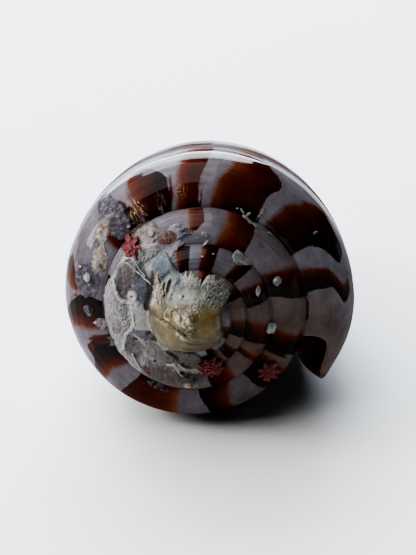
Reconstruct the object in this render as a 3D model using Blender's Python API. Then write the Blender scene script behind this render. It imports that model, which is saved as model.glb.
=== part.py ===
"""Cone shell lying on its aperture, with the growths that have settled on its spire.

The shell is one coiled tube. Its whorls share one profile, a ramp from the suture out to the shoulder and a
body from the shoulder down to the narrow front end. The profile grows by a fixed ratio a turn, and each whorl
takes hold of the one before it high on its shoulder. Everything is worked out in the shell's own frame,
in millimetres, with the apex at the origin and the spire pointing along +Z, and one empty lays it down.
"""
import math

import bmesh
import bpy
import numpy as np

MM = 0.001

# The whorl profile at the lip. The next whorl takes hold of the ramp where its angle has this cosine.
WHORL_GROWTH = 1.4476
SHOULDER_RADIUS = 14.118
SHOULDER_DEPTH = 12.482
ATTACH_COSINE = 0.244
BODY_BOW = 1.9
SHELL_LENGTH = 44.4
LENGTH_GROWTH = 0.196
FRONT_RADIUS = 3.9
FRONT_GROWTH = 2.8

# The lip: where its suture ends, how thick the shell is there, behind it and in the corner at the suture,
# how far back the shell bends into the lip, and where the front end closes on the axis, as a part of the length.
LIP_ANGLE = math.radians(-18.0)
LIP_WALL = 0.45
WALL = 1.0
CORNER_WALL = 0.1
LIP_REACH = 0.35
LIP_PINCH = 0.03
FRONT_END = 0.955

# How finely the shell is divided, and how far back its hollow runs.
WHORLS = 6
STEPS_A_TURN = 36
RAMP_STEPS = 4
BODY_STEPS = 14
HOLLOW_TURNS = 0.75

# Clearance under a growth, and the way the shell lies: apex up by PITCH, rolled so that ROLL is uppermost.
GROWTH_GAP = 0.3
PITCH = math.radians(8.9)
ROLL = math.radians(89.9)

# Old attachment scars on the lime crust: middle, half sizes and rim height. Knobs: middle and size.
SCARS = ((-5.5, 2.7, 1.5, 2.0, 0.5), (-4.6, -3.2, 1.8, 1.9, 0.42))
KNOBS = ((-5.25, 1.5, 0.4), (-0.2, -6.5, 0.5), (-2.0, -5.9, 0.45), (-5.2, 5.3, 0.5))

# Red encrusting growths: node name, middle, half width and height, all on the spire's plan.
RED_GROWTHS = (
    ("red_growth_upper", -5.35, 5.6, 0.85, 0.62),
    ("red_growth_lower", 1.4, -4.35, 1.05, 0.7),
    ("red_growth_edge", 6.25, -5.65, 1.0, 0.6),
)

# Sand grains caught on the whorls: middle and half sizes.
GRAINS = (
    (3.95, 4.75, 0.55, 0.5),
    (6.95, 2.65, 0.34, 0.34),
    (5.35, 2.15, 0.22, 0.36),
    (6.45, -1.35, 0.42, 0.42),
    (-9.2, 2.4, 0.34, 0.34),
)

ATTACH_ANGLE = math.acos(ATTACH_COSINE)
ATTACH = ATTACH_ANGLE / (math.pi / 2)
ATTACH_SINE = math.sin(ATTACH_ANGLE)
SUTURE_RADIUS = SHOULDER_RADIUS * ATTACH_SINE / (WHORL_GROWTH - 1 + ATTACH_SINE)
SUTURE_DEPTH = SHOULDER_DEPTH * (1 - ATTACH_COSINE) / (WHORL_GROWTH - ATTACH_COSINE)
APEX_DEPTH = 0.6 * SUTURE_DEPTH * WHORL_GROWTH ** -WHORLS


def smooth_step(value, low, high):
    """0 below low, 1 above high, and a smooth S between them."""
    x = np.clip((value - low) / (high - low), 0.0, 1.0)
    return x * x * (3 - 2 * x)


def lip_line(profile):
    """Turns by which the lip stands ahead of its suture end: a notch on the ramp, then a forward sweep."""
    notch = -0.004 * np.sin(np.pi * np.clip(profile / 0.34, 0.0, 1.0))
    shoulder = 0.042 * smooth_step(profile, 0.34, 0.62)
    body = 0.032 * smooth_step(profile, 0.8, 1.3) - 0.02 * smooth_step(profile, 1.4, 2.0)
    return notch + shoulder + body


def profile_size(turn, profile):
    """Size of the profile at a turn, counted back from the lip, with the shoulder drawn in at the lip."""
    pinch = LIP_PINCH * smooth_step(turn, -0.02, 0.045) * smooth_step(profile, 0.15, 0.75)
    return WHORL_GROWTH ** turn * (1 - pinch)


def profile_point(profile, size):
    """Radius and depth on the profile: 0 to 1 is a quarter ellipse, the ramp, and 1 to 2 the bowed body."""
    angle = np.clip(profile, 0.0, 1.0) * np.pi / 2
    down = np.clip(profile - 1.0, 0.0, 1.0)
    front_radius = FRONT_RADIUS * size ** FRONT_GROWTH
    front_depth = SHELL_LENGTH * size ** LENGTH_GROWTH
    ramp_radius = size * (SUTURE_RADIUS + (SHOULDER_RADIUS - SUTURE_RADIUS) * np.sin(angle))
    ramp_depth = size * (SUTURE_DEPTH + (SHOULDER_DEPTH - SUTURE_DEPTH) * (1 - np.cos(angle)))
    body_radius = size * SHOULDER_RADIUS - (size * SHOULDER_RADIUS - front_radius) * down ** BODY_BOW
    body_depth = size * SHOULDER_DEPTH + (front_depth - size * SHOULDER_DEPTH) * down
    radius = np.where(profile > 1.0, body_radius, ramp_radius)
    return radius, np.where(profile > 1.0, body_depth, ramp_depth)


def shell_point(profile, turn, inset=0.0):
    """A point on a whorl's outer face, or inset from it along the profile's normal."""
    profile, turn = np.broadcast_arrays(np.asarray(profile, float), np.asarray(turn, float))
    swept = turn + lip_line(profile) * smooth_step(turn, -LIP_REACH, 0.0)
    size = profile_size(swept, profile)
    radius, depth = profile_point(profile, size)
    before = profile_point(np.clip(profile - 0.001, 0.0, 2.0), size)
    after = profile_point(np.clip(profile + 0.001, 0.0, 2.0), size)
    run, fall = after[0] - before[0], after[1] - before[1]
    length = np.hypot(run, fall)
    radius = radius - inset * fall / length
    depth = depth + inset * run / length
    angle = LIP_ANGLE - 2 * np.pi * swept
    return np.stack([radius * np.cos(angle), radius * np.sin(angle), -depth], axis=-1)


def wall_thickness(turn):
    """The wall thins towards the lip, and is in proportion to the whorl behind it."""
    grown = np.clip(-turn / 0.08, 0.0, 1.0) ** 0.7
    return (LIP_WALL + (WALL - LIP_WALL) * grown) * WHORL_GROWTH ** (0.8 * turn)


def spire_height(x, y):
    """Height of the spire's surface over a point of its plan, from the whorl that shows there."""
    radius = np.maximum(np.hypot(x, y), 0.05)
    turn = ((LIP_ANGLE - np.arctan2(y, x)) / (2 * np.pi)) % 1.0
    turn = turn + np.floor(np.log(radius / SUTURE_RADIUS) / math.log(WHORL_GROWTH) - turn)
    turn = np.minimum(turn, turn % 1.0 - 1.0)
    size = WHORL_GROWTH ** turn
    sine = np.clip((radius / size - SUTURE_RADIUS) / (SHOULDER_RADIUS - SUTURE_RADIUS), 0.0, 0.999)
    cosine = np.sqrt(1 - sine * sine)
    depth = size * (SUTURE_DEPTH + (SHOULDER_DEPTH - SUTURE_DEPTH) * (1 - cosine))
    return -np.maximum(depth, APEX_DEPTH)


def make_material(name, colour, roughness):
    """A plain Principled material."""
    material = bpy.data.materials.new(name)
    material.use_nodes = True
    surface = material.node_tree.nodes["Principled BSDF"]
    surface.inputs["Base Color"].default_value = (*colour, 1.0)
    surface.inputs["Roughness"].default_value = roughness
    surface.inputs["Metallic"].default_value = 0.0
    return material


def add_object(name, mesh, material, parent):
    """Shades a mesh smooth, gives it its material and hangs it on the resting empty."""
    mesh.materials.append(material)
    mesh.shade_smooth()
    mesh.set_sharp_from_angle(angle=math.radians(50))
    piece = bpy.data.objects.new(name, mesh)
    bpy.context.scene.collection.objects.link(piece)
    piece.parent = parent
    return piece


class ShellMesh:
    """Vertices with names, so that a whorl's suture shares the vertices of the whorl that it takes hold of."""

    def __init__(self):
        self.points = []
        self.number = {}
        self.faces = []

    def add(self, key, point):
        self.number[key] = len(self.points)
        self.points.append(tuple(float(value) * MM for value in point))

    def face(self, *keys):
        ring = [self.number[key] for key in keys]
        ring = [vertex for i, vertex in enumerate(ring) if vertex != ring[i - 1]]
        if len(ring) > 2:
            self.faces.append(ring[::-1])


def add_outside(mesh, profiles, attach_column):
    """The spire's ramps, and the whole profile over the last turn. Returns a function that names a vertex."""
    last_row = WHORLS * STEPS_A_TURN
    body_row = last_row - STEPS_A_TURN
    columns = len(profiles) - 1
    turns = (np.arange(last_row + 1) - last_row) / STEPS_A_TURN
    grid = shell_point(profiles[None, :], turns[:, None])

    def key(row, column):
        if column:
            return row, column
        return "apex" if row < STEPS_A_TURN else (row - STEPS_A_TURN, attach_column)

    mesh.add("apex", (0.0, 0.0, -APEX_DEPTH))
    for row in range(last_row + 1):
        width = columns if row >= body_row else attach_column
        for column in range(1, width + 1):
            mesh.add((row, column), grid[row, column])
    for row in range(last_row):
        width = columns if row >= body_row else attach_column
        for column in range(width):
            mesh.face(key(row, column), key(row, column + 1), key(row + 1, column + 1), key(row + 1, column))
    first = ["apex"] + [(0, column) for column in range(1, attach_column + 1)]
    for column in range(1, attach_column):
        mesh.face(first[0], first[column + 1], first[column])
    return key


def add_hollow(mesh, body_profiles, attach_column):
    """The inside of the tube, from the lip to a closed end. Returns the profiles of its outer side."""
    body_row = (WHORLS - 1) * STEPS_A_TURN
    outer_profiles = np.concatenate([[0.16, 0.32, 0.5, 0.68, ATTACH], body_profiles[1:]])
    rings = int(round(HOLLOW_TURNS * STEPS_A_TURN))
    front_tip = np.array([0.0, 0.0, -FRONT_END * SHELL_LENGTH])
    mesh.add(("front", 0), front_tip)
    for ring in range(rings + 1):
        turn = -ring / STEPS_A_TURN
        outer = shell_point(outer_profiles, turn, inset=wall_thickness(turn))
        inner_profiles = body_profiles + CORNER_WALL * min(1.0, ring / 3) * (body_profiles == ATTACH)
        inner = shell_point(inner_profiles, turn - 1.0)
        outer[-1, 2] += 0.66 * wall_thickness(turn) * min(1.0, ring / 3)
        for column, point in enumerate(outer):
            mesh.add(("outer", ring, column), point)
        for column, point in enumerate(inner):
            if ring:
                mesh.add(("inner", ring, column), point)
            else:
                mesh.number["inner", 0, column] = mesh.number[body_row, attach_column + column]
        if ring:
            ahead = min(1.0, ring / 4)
            mesh.add(("front", ring), (outer[-1] + inner[-1]) / 2 * ahead + front_tip * (1 - ahead))

    def loop(ring):
        outer = [("outer", ring, column) for column in range(len(outer_profiles))]
        inner = [("inner", ring, column) for column in reversed(range(len(body_profiles)))]
        return outer + [("front", ring)] + inner

    for ring in range(rings):
        near, far = loop(ring), loop(ring + 1)
        for i in range(len(near)):
            j = (i + 1) % len(near)
            mesh.face(near[i], near[j], far[j], far[i])
    end = loop(rings)
    low, high = 0, len(end) - 1
    while high - low > 1:
        if (high - low) % 2:
            mesh.face(end[low], end[low + 1], end[high])
            low += 1
        else:
            mesh.face(end[low], end[high - 1], end[high])
            high -= 1
    return outer_profiles


def add_lip(mesh, key, profiles, outer_profiles):
    """The lip's edge, between the outside and the hollow, and the twisted front end round the axis."""
    last_row = WHORLS * STEPS_A_TURN
    columns = len(profiles) - 1
    outside = [key(last_row, column) for column in range(columns + 1)]
    inside = [("inner", 0, 0)] + [("outer", 0, column) for column in range(len(outer_profiles))]
    outside_at = list(profiles)
    inside_at = [0.0] + list(outer_profiles)
    i = j = 0
    while i < len(outside) - 1 or j < len(inside) - 1:
        inside_done = j == len(inside) - 1
        if inside_done or (i < len(outside) - 1 and outside_at[i + 1] <= inside_at[j + 1]):
            mesh.face(outside[i], outside[i + 1], inside[j])
            i += 1
        else:
            mesh.face(outside[i], inside[j + 1], inside[j])
            j += 1
    for row in range(last_row - STEPS_A_TURN, last_row):
        mesh.face((row, columns), ("front", 0), (row + 1, columns))
    mesh.face((last_row, columns), ("front", 0), inside[-1])


def make_shell(material, parent):
    """The whole shell as one closed skin: outside, hollow, lip and front end."""
    ramp_profiles = np.linspace(0.0, ATTACH, RAMP_STEPS + 1)
    body_profiles = np.concatenate([[ATTACH], np.linspace(1.0, 2.0, BODY_STEPS)])
    profiles = np.concatenate([ramp_profiles, body_profiles[1:]])
    shell = ShellMesh()
    key = add_outside(shell, profiles, RAMP_STEPS)
    outer_profiles = add_hollow(shell, body_profiles, RAMP_STEPS)
    add_lip(shell, key, profiles, outer_profiles)
    mesh = bpy.data.meshes.new("cone_shell")
    mesh.from_pydata(shell.points, [], shell.faces)
    return add_object("cone_shell", mesh, material, parent)


def make_growth(name, plan_x, plan_y, thickness, wraps, material, parent):
    """A skin over the spire: its underside follows the spire at GROWTH_GAP, its top is thickness above that."""
    underside = spire_height(plan_x, plan_y) + GROWTH_GAP
    rows, columns = plan_x.shape
    top = np.stack([plan_x, plan_y, underside + thickness], axis=-1) * MM
    bottom = np.stack([plan_x, plan_y, underside], axis=-1) * MM
    points = np.concatenate([top.reshape(-1, 3), bottom.reshape(-1, 3)])
    under = rows * columns
    faces = []
    for row in range(rows - 1):
        for column in range(columns if wraps else columns - 1):
            after = (column + 1) % columns
            a, b = row * columns + column, row * columns + after
            c, d = b + columns, a + columns
            faces += [(a, b, c, d), (under + d, under + c, under + b, under + a)]
    edge = [(rows - 1) * columns + column for column in range(columns)]
    if not wraps:
        far = [row * columns + columns - 1 for row in range(rows - 1, -1, -1)][1:]
        near = [row * columns for row in range(1, rows)]
        edge = edge + far + list(range(columns - 2, -1, -1)) + near[:-1]
    for i, a in enumerate(edge):
        b = edge[(i + 1) % len(edge)]
        faces.append((a, b, under + b, under + a))
    mesh = bpy.data.meshes.new(name)
    mesh.from_pydata([tuple(point) for point in points], [], faces)
    shape = bmesh.new()
    shape.from_mesh(mesh)
    bmesh.ops.remove_doubles(shape, verts=shape.verts, dist=1e-7)
    bmesh.ops.recalc_face_normals(shape, faces=shape.faces)
    shape.to_mesh(mesh)
    shape.free()
    return add_object(name, mesh, material, parent)


def oval(x, y, centre_x, centre_y, half_x, half_y):
    """Distance from the middle of an oval, where 1 is its edge."""
    return np.hypot((x - centre_x) / half_x, (y - centre_y) / half_y)


def bump(distance, width):
    """A smooth mound of height 1, of this width."""
    return np.exp(-(distance / width) ** 2)


def make_lime_crust(material, parent):
    """Lime laid down on the last whorl but one, with the rims of two old attachment scars and small knobs."""
    along = np.linspace(0.0, 1.0, 46)[None, :]
    across = np.linspace(0.0, 1.0, 12)[:, None]
    angle = np.radians(100.0 + 170.0 * along)
    turn = ((LIP_ANGLE - angle) / (2 * np.pi)) % 1.0 - 1.0
    outer = SUTURE_RADIUS * WHORL_GROWTH ** turn - 0.12 + 0.1 * np.sin(9 * angle)
    outer = outer - 1.75 * bump(angle - math.radians(134.0), math.radians(13.0))
    inner = 4.35 + 0.12 * np.sin(7 * angle) + 0.9 * bump(along, 0.12)
    ends = np.sin(np.pi * np.clip(along, 0.006, 0.994)) ** 0.42
    middle = 0.5 * (outer + inner)
    radius = middle + (inner + (outer - inner) * across - middle) * ends
    x, y = radius * np.cos(angle), radius * np.sin(angle)
    edge = np.sin(np.pi * across) ** 0.5 * ends
    thickness = 0.14 + edge * (0.36 + 0.12 * np.sin(2.3 * x + 1.0) * np.cos(2.9 * y))
    for centre_x, centre_y, half_x, half_y, height in SCARS:
        rim = bump(oval(x, y, centre_x, centre_y, half_x, half_y) - 1.0, 0.22)
        hollow = smooth_step(oval(x, y, centre_x, centre_y, half_x, half_y), 1.0, 0.6)
        thickness = thickness + edge * (height * rim - 0.2 * hollow)
    for centre_x, centre_y, size in KNOBS:
        thickness = thickness + 0.8 * size * bump(np.hypot(x - centre_x, y - centre_y), size)
    return make_growth("lime_crust", x, y, np.maximum(thickness, 0.12), False, material, parent)


def make_apex_growth(material, parent):
    """The domed, olive-yellow growth that has buried the first whorls, with a lump near its middle."""
    around = np.linspace(0.0, 2 * np.pi, 28, endpoint=False)[None, :]
    out = np.linspace(0.0, 1.0, 9)[:, None]
    reach = 3.45 + 0.18 * np.sin(3 * around + 0.6) + 0.12 * np.sin(5 * around)
    x = -0.2 + reach * out * np.cos(around)
    y = 0.85 + 1.03 * reach * out * np.sin(around)
    dome = 0.2 - 0.165 * (x * x + y * y)
    lump = 0.22 * bump(np.hypot(x + 0.3, y - 0.1), 0.8) + 0.5 * bump(np.hypot(x + 1.9, y - 3.6), 0.8)
    top = dome + lump + 0.1 * np.sin(2.6 * x) * np.cos(2.2 * y)
    floor = spire_height(x, y) + GROWTH_GAP
    thickness = 0.14 + np.maximum(top - floor, 0.1) * np.sqrt(np.clip(1 - out ** 6, 0.0, 1.0))
    return make_growth("apex_growth", x, y, thickness, True, material, parent)


def make_red_growth(name, centre_x, centre_y, half_width, height, material, parent):
    """A cushion of lobes that fills the groove under it, domed over the plane that best fits its footprint."""
    around = np.linspace(0.0, 2 * np.pi, 14, endpoint=False)[None, :]
    out = np.linspace(0.0, 1.0, 5)[:, None]
    reach = half_width * (1 + 0.14 * np.sin(5 * around + centre_x))
    x = centre_x + reach * out * np.cos(around)
    y = centre_y + reach * out * np.sin(around)
    floor = spire_height(x, y) + GROWTH_GAP
    footprint = np.stack([x.ravel(), y.ravel(), np.ones(x.size)], axis=1)
    slope = np.linalg.lstsq(footprint, floor.ravel(), rcond=None)[0]
    lobes = 1 + 0.2 * np.sin(6.5 * (x - centre_x)) * np.cos(6.5 * (y - centre_y))
    top = slope[0] * x + slope[1] * y + slope[2] + height * lobes * np.sqrt(1 - out ** 2)
    return make_growth(name, x, y, np.maximum(top - floor, 0.12), True, material, parent)


def make_grain(number, centre_x, centre_y, half_x, half_y, material, parent):
    """A worn grain: an uneven, low-sided lump of lime sand."""
    shape = bmesh.new()
    bmesh.ops.create_icosphere(shape, subdivisions=1, radius=1.0)
    for vertex in shape.verts:
        ruffle = 1 + 0.16 * math.sin(5 * vertex.co.x + number) * math.cos(4 * vertex.co.z + 2 * vertex.co.y)
        vertex.co = vertex.co * ruffle
    height = 0.7 * min(half_x, half_y)
    for vertex in shape.verts:
        vertex.co.x *= half_x * MM
        vertex.co.y *= half_y * MM
        vertex.co.z *= height * MM
    xs = np.array([centre_x, centre_x - half_x, centre_x + half_x, centre_x, centre_x])
    ys = np.array([centre_y, centre_y, centre_y, centre_y - half_y, centre_y + half_y])
    rest = float(spire_height(xs, ys).max()) + 0.1 + 1.2 * height
    bmesh.ops.translate(shape, verts=shape.verts, vec=(centre_x * MM, centre_y * MM, rest * MM))
    mesh = bpy.data.meshes.new(f"sand_grain_{number}")
    shape.to_mesh(mesh)
    shape.free()
    return add_object(mesh.name, mesh, material, parent)


def world_points(piece):
    """The piece's vertices as it lies."""
    points = np.empty(len(piece.data.vertices) * 3)
    piece.data.vertices.foreach_get("co", points)
    world = np.array(piece.matrix_world)
    return points.reshape(-1, 3) @ world[:3, :3].T + world[:3, 3]


def main():
    for old in list(bpy.data.objects):
        bpy.data.objects.remove(old)
    porcelain = make_material("shell", (0.62, 0.52, 0.5), 0.28)
    lime = make_material("lime", (0.62, 0.6, 0.58), 0.85)
    olive = make_material("olive_growth", (0.55, 0.47, 0.26), 0.5)
    red = make_material("red_growth", (0.5, 0.1, 0.09), 0.75)
    sand = make_material("sand", (0.68, 0.66, 0.62), 0.8)

    rest = bpy.data.objects.new("rest_pose", None)
    bpy.context.scene.collection.objects.link(rest)
    pieces = [make_shell(porcelain, rest), make_lime_crust(lime, rest), make_apex_growth(olive, rest)]
    pieces += [make_red_growth(*growth, red, rest) for growth in RED_GROWTHS]
    pieces += [make_grain(number, *grain, sand, rest) for number, grain in enumerate(GRAINS, 1)]

    rest.rotation_mode = "ZXY"
    rest.rotation_euler = (math.pi / 2 - PITCH, 0.0, math.pi / 2 - ROLL)
    bpy.context.view_layer.update()
    corners = np.concatenate([world_points(piece) for piece in pieces])
    low, high = corners.min(axis=0), corners.max(axis=0)
    rest.location = (-(low[0] + high[0]) / 2, -(low[1] + high[1]) / 2, -low[2])


main()
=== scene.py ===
"""A cone shell that lies on its aperture, with the growths that have settled on its spire, ready to render.

Lengths are in millimetres in the shell's own frame, with the apex at the origin and the spire along +Z.
Every mesh is worked out there and then laid down, in metres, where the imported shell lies.
"""
import math

import bmesh
import bpy
import numpy as np

from mathutils import Matrix, Vector


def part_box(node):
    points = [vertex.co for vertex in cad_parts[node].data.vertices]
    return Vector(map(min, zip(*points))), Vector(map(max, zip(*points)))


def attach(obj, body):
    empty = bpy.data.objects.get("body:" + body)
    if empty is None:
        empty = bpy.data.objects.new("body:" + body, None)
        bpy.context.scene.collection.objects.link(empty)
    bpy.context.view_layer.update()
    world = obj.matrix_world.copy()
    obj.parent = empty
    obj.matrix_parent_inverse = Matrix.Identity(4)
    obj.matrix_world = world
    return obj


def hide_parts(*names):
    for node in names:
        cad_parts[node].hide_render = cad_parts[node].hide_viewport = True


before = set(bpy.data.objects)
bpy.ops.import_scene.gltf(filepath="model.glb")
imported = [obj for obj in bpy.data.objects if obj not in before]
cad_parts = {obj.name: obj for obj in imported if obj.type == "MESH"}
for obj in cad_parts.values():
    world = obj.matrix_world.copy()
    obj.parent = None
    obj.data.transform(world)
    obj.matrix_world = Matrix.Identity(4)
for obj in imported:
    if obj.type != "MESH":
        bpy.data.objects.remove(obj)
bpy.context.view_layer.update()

# ----------------------------------------------------------------------------------------------- the shell
# One coiled tube of porcelain-like lime, built up by the animal at the lip as it grew. Its whorls share one
# profile, a rounded ramp from the suture to the shoulder and a long body down to the narrow front end, and
# each whorl takes hold of the one before it high on its shoulder.
MM = 0.001

# The coiled tube: its growth a turn, the shoulder's radius and its depth under the apex, and how high on
# the shoulder's quarter ellipse the next whorl takes hold.
WHORL_GROWTH = 1.4476
SHOULDER_RADIUS = 14.118
SHOULDER_DEPTH = 12.482
ATTACH_COSINE = 0.244

# The body: how it bows, the shell's length and its front radius, each with its own growth, and the share of
# the length at which the front closes on the axis.
BODY_BOW = 1.9
SHELL_LENGTH = 44.4
LENGTH_GROWTH = 0.196
FRONT_RADIUS = 3.9
FRONT_GROWTH = 2.8
FRONT_END = 0.955

# The lip: where it is, its wall, how far back its line reaches in turns, how much it narrows, and its
# rounding.
LIP_ANGLE = math.radians(-18)
LIP_WALL = 0.45
LIP_REACH = 0.35
LIP_PINCH = 0.03
LIP_ROUNDING = 0.1

# The wall, the hollow behind it, and how far the real face lies under the ideal one.
WALL = 1.0
CORNER_WALL = 0.1
HOLLOW_TURNS = 0.75
SKIN = 0.05
STAGE_DEPTH = 0.02
LINE_DEPTH = 0.015
CORDS = 7
CORD_DEPTH = 0.012

# How the shell lies on its lip and its last whorl.
PITCH = math.radians(8.9)
ROLL = math.radians(89.9)

ATTACH_ANGLE = math.acos(ATTACH_COSINE)
ATTACH = ATTACH_ANGLE / (math.pi / 2)
ATTACH_SINE = math.sin(ATTACH_ANGLE)
SUTURE_RADIUS = SHOULDER_RADIUS * ATTACH_SINE / (WHORL_GROWTH - 1 + ATTACH_SINE)
SUTURE_DEPTH = SHOULDER_DEPTH * (1 - ATTACH_COSINE) / (WHORL_GROWTH - ATTACH_COSINE)


def smooth_step(value, low, high):
    """0 below low, 1 above high, and a smooth S between them."""
    x = np.clip((value - low) / (high - low), 0, 1)
    return x * x * (3 - 2 * x)


def bump(distance, width):
    """A smooth mound of height 1, of this width: e to the power of minus the squared distance over the
    width."""
    return np.exp(-(distance / width) ** 2)


def lip_line(profile):
    """Turns by which the lip stands ahead of its suture end: a notch on the ramp, then a forward sweep."""
    notch = -0.004 * np.sin(np.pi * np.clip(profile / 0.34, 0, 1))
    shoulder = 0.042 * smooth_step(profile, 0.34, 0.62)
    body = 0.032 * smooth_step(profile, 0.8, 1.3) - 0.02 * smooth_step(profile, 1.4, 2)
    return notch + shoulder + body


def profile_point(profile, size):
    """Radius and depth on the profile: 0 to 1 is a quarter ellipse, the ramp, and 1 to 2 the bowed body."""
    angle = np.clip(profile, 0, 1) * np.pi / 2
    down = np.clip(profile - 1, 0, 1)
    front_radius = FRONT_RADIUS * size ** FRONT_GROWTH
    front_depth = SHELL_LENGTH * size ** LENGTH_GROWTH
    ramp_radius = size * (SUTURE_RADIUS + (SHOULDER_RADIUS - SUTURE_RADIUS) * np.sin(angle))
    ramp_depth = size * (SUTURE_DEPTH + (SHOULDER_DEPTH - SUTURE_DEPTH) * (1 - np.cos(angle)))
    body_radius = size * SHOULDER_RADIUS - (size * SHOULDER_RADIUS - front_radius) * down ** BODY_BOW
    body_depth = size * SHOULDER_DEPTH + (front_depth - size * SHOULDER_DEPTH) * down
    radius = np.where(profile > 1, body_radius, ramp_radius)
    return radius, np.where(profile > 1, body_depth, ramp_depth)


def shell_point(profile, turn, inset=0):
    """A point on a whorl's outer face, or inset from it along the profile's normal. The profile grows by a
    fixed ratio a turn, and over the last third of a turn it is carried forward by the lip's line."""
    profile, turn = np.broadcast_arrays(np.asarray(profile, float), np.asarray(turn, float))
    swept = turn + lip_line(profile) * smooth_step(turn, -LIP_REACH, 0)
    pinch = LIP_PINCH * smooth_step(swept, -0.02, 0.045) * smooth_step(profile, 0.15, 0.75)
    size = WHORL_GROWTH ** swept * (1 - pinch)
    radius, depth = profile_point(profile, size)
    before = profile_point(np.clip(profile - 0.001, 0, 2), size)
    after = profile_point(np.clip(profile + 0.001, 0, 2), size)
    run, fall = after[0] - before[0], after[1] - before[1]
    length = np.hypot(run, fall)
    radius = radius - inset * fall / length
    depth = depth + inset * run / length
    angle = LIP_ANGLE - 2 * np.pi * swept
    return np.stack([radius * np.cos(angle), radius * np.sin(angle), -depth], axis=-1)


def wall_thickness(turn):
    """The wall thins towards the lip, and is in proportion to the whorl behind it."""
    grown = np.clip(-turn / 0.08, 0, 1) ** 0.7
    return (LIP_WALL + (WALL - LIP_WALL) * grown) * WHORL_GROWTH ** (0.8 * turn)


def rest_turn():
    """The turn that lays the shell down: about its axis until ROLL is uppermost, then back by a quarter
    less PITCH."""
    spin, back = math.pi / 2 - ROLL, math.pi / 2 - PITCH
    about_axis = np.array([[math.cos(spin), -math.sin(spin), 0], [math.sin(spin), math.cos(spin), 0],
                           [0, 0, 1]])
    tip_back = np.array([[1, 0, 0], [0, math.cos(back), -math.sin(back)],
                         [0, math.sin(back), math.cos(back)]])
    return tip_back @ about_axis


TURN_DOWN = rest_turn()
CAD_TURNS = np.arange(-36, 1)[:, None] / 36
CAD_PROFILES = np.concatenate([[ATTACH], np.linspace(1, 2, 14)])[None, :]
corners = (shell_point(CAD_PROFILES, CAD_TURNS) @ TURN_DOWN.T).reshape(-1, 3) * MM
PLACE = np.array(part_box("cone_shell")[1]) - corners.max(axis=0)


def lay_down(points):
    """Points of the shell's own frame, in millimetres, where they are once the shell lies, in metres."""
    return points @ TURN_DOWN.T * MM + PLACE


# How finely the shell is divided. The first step off a suture is very short, so that the colours meet
# there.
WHORLS = 5
STEPS = 320
RINGS = 60
ramp_profiles = np.concatenate([[0, 0.004], np.linspace(0.03, ATTACH, 27)])
body_profiles = np.concatenate([np.linspace(ATTACH, 1.12, 20), np.linspace(1.13, 2, 66)])
profiles = np.concatenate([ramp_profiles, body_profiles[1:]])
SUTURE = len(ramp_profiles) - 1
FRONT = len(profiles) - 1

# The hollow's rings bunch towards the lip, where they ease from the lip's own edge into the wall's inside.
RING_BUNCHING = 1.2
HOLLOW_EASE = 12.0
RIM_SHARES = (0.3, 0.7)
LATTICE = 64


def lattice_noise(x, y, seed, scale=1):
    """Smooth noise from -1 to 1: random heights at the whole-numbered points, blended between them by
    S-curves."""
    heights = np.random.default_rng(seed).uniform(-1, 1, (LATTICE, LATTICE))
    x, y = x * scale, y * scale
    column, row = np.floor(x).astype(int), np.floor(y).astype(int)
    u, v = smooth_step(x - column, 0, 1), smooth_step(y - row, 0, 1)
    left, right, low, high = column % LATTICE, (column + 1) % LATTICE, row % LATTICE, (row + 1) % LATTICE
    near = heights[low, left] * (1 - u) + heights[low, right] * u
    far = heights[high, left] * (1 - u) + heights[high, right] * u
    return near * (1 - v) + far * v


def line_noise(place, seed, scale):
    """The same noise along a line."""
    return lattice_noise(place, place * 0, seed, scale)


def shell_relief(profile, turn):
    """How far the real surface lies below its ideal one: growth stages and lines, and spiral cords on the
    ramp."""
    stages = STAGE_DEPTH * (1 + lattice_noise(turn * 70, profile * 2, 3))
    stages = stages + LINE_DEPTH * (1 + lattice_noise(turn * 23, profile * 3, 4))
    cords = CORD_DEPTH * (1 + np.cos(2 * np.pi * CORDS * profile))
    return SKIN + stages + cords * smooth_step(profile, 1, 0.8) * smooth_step(profile, 0, 0.1)


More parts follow.
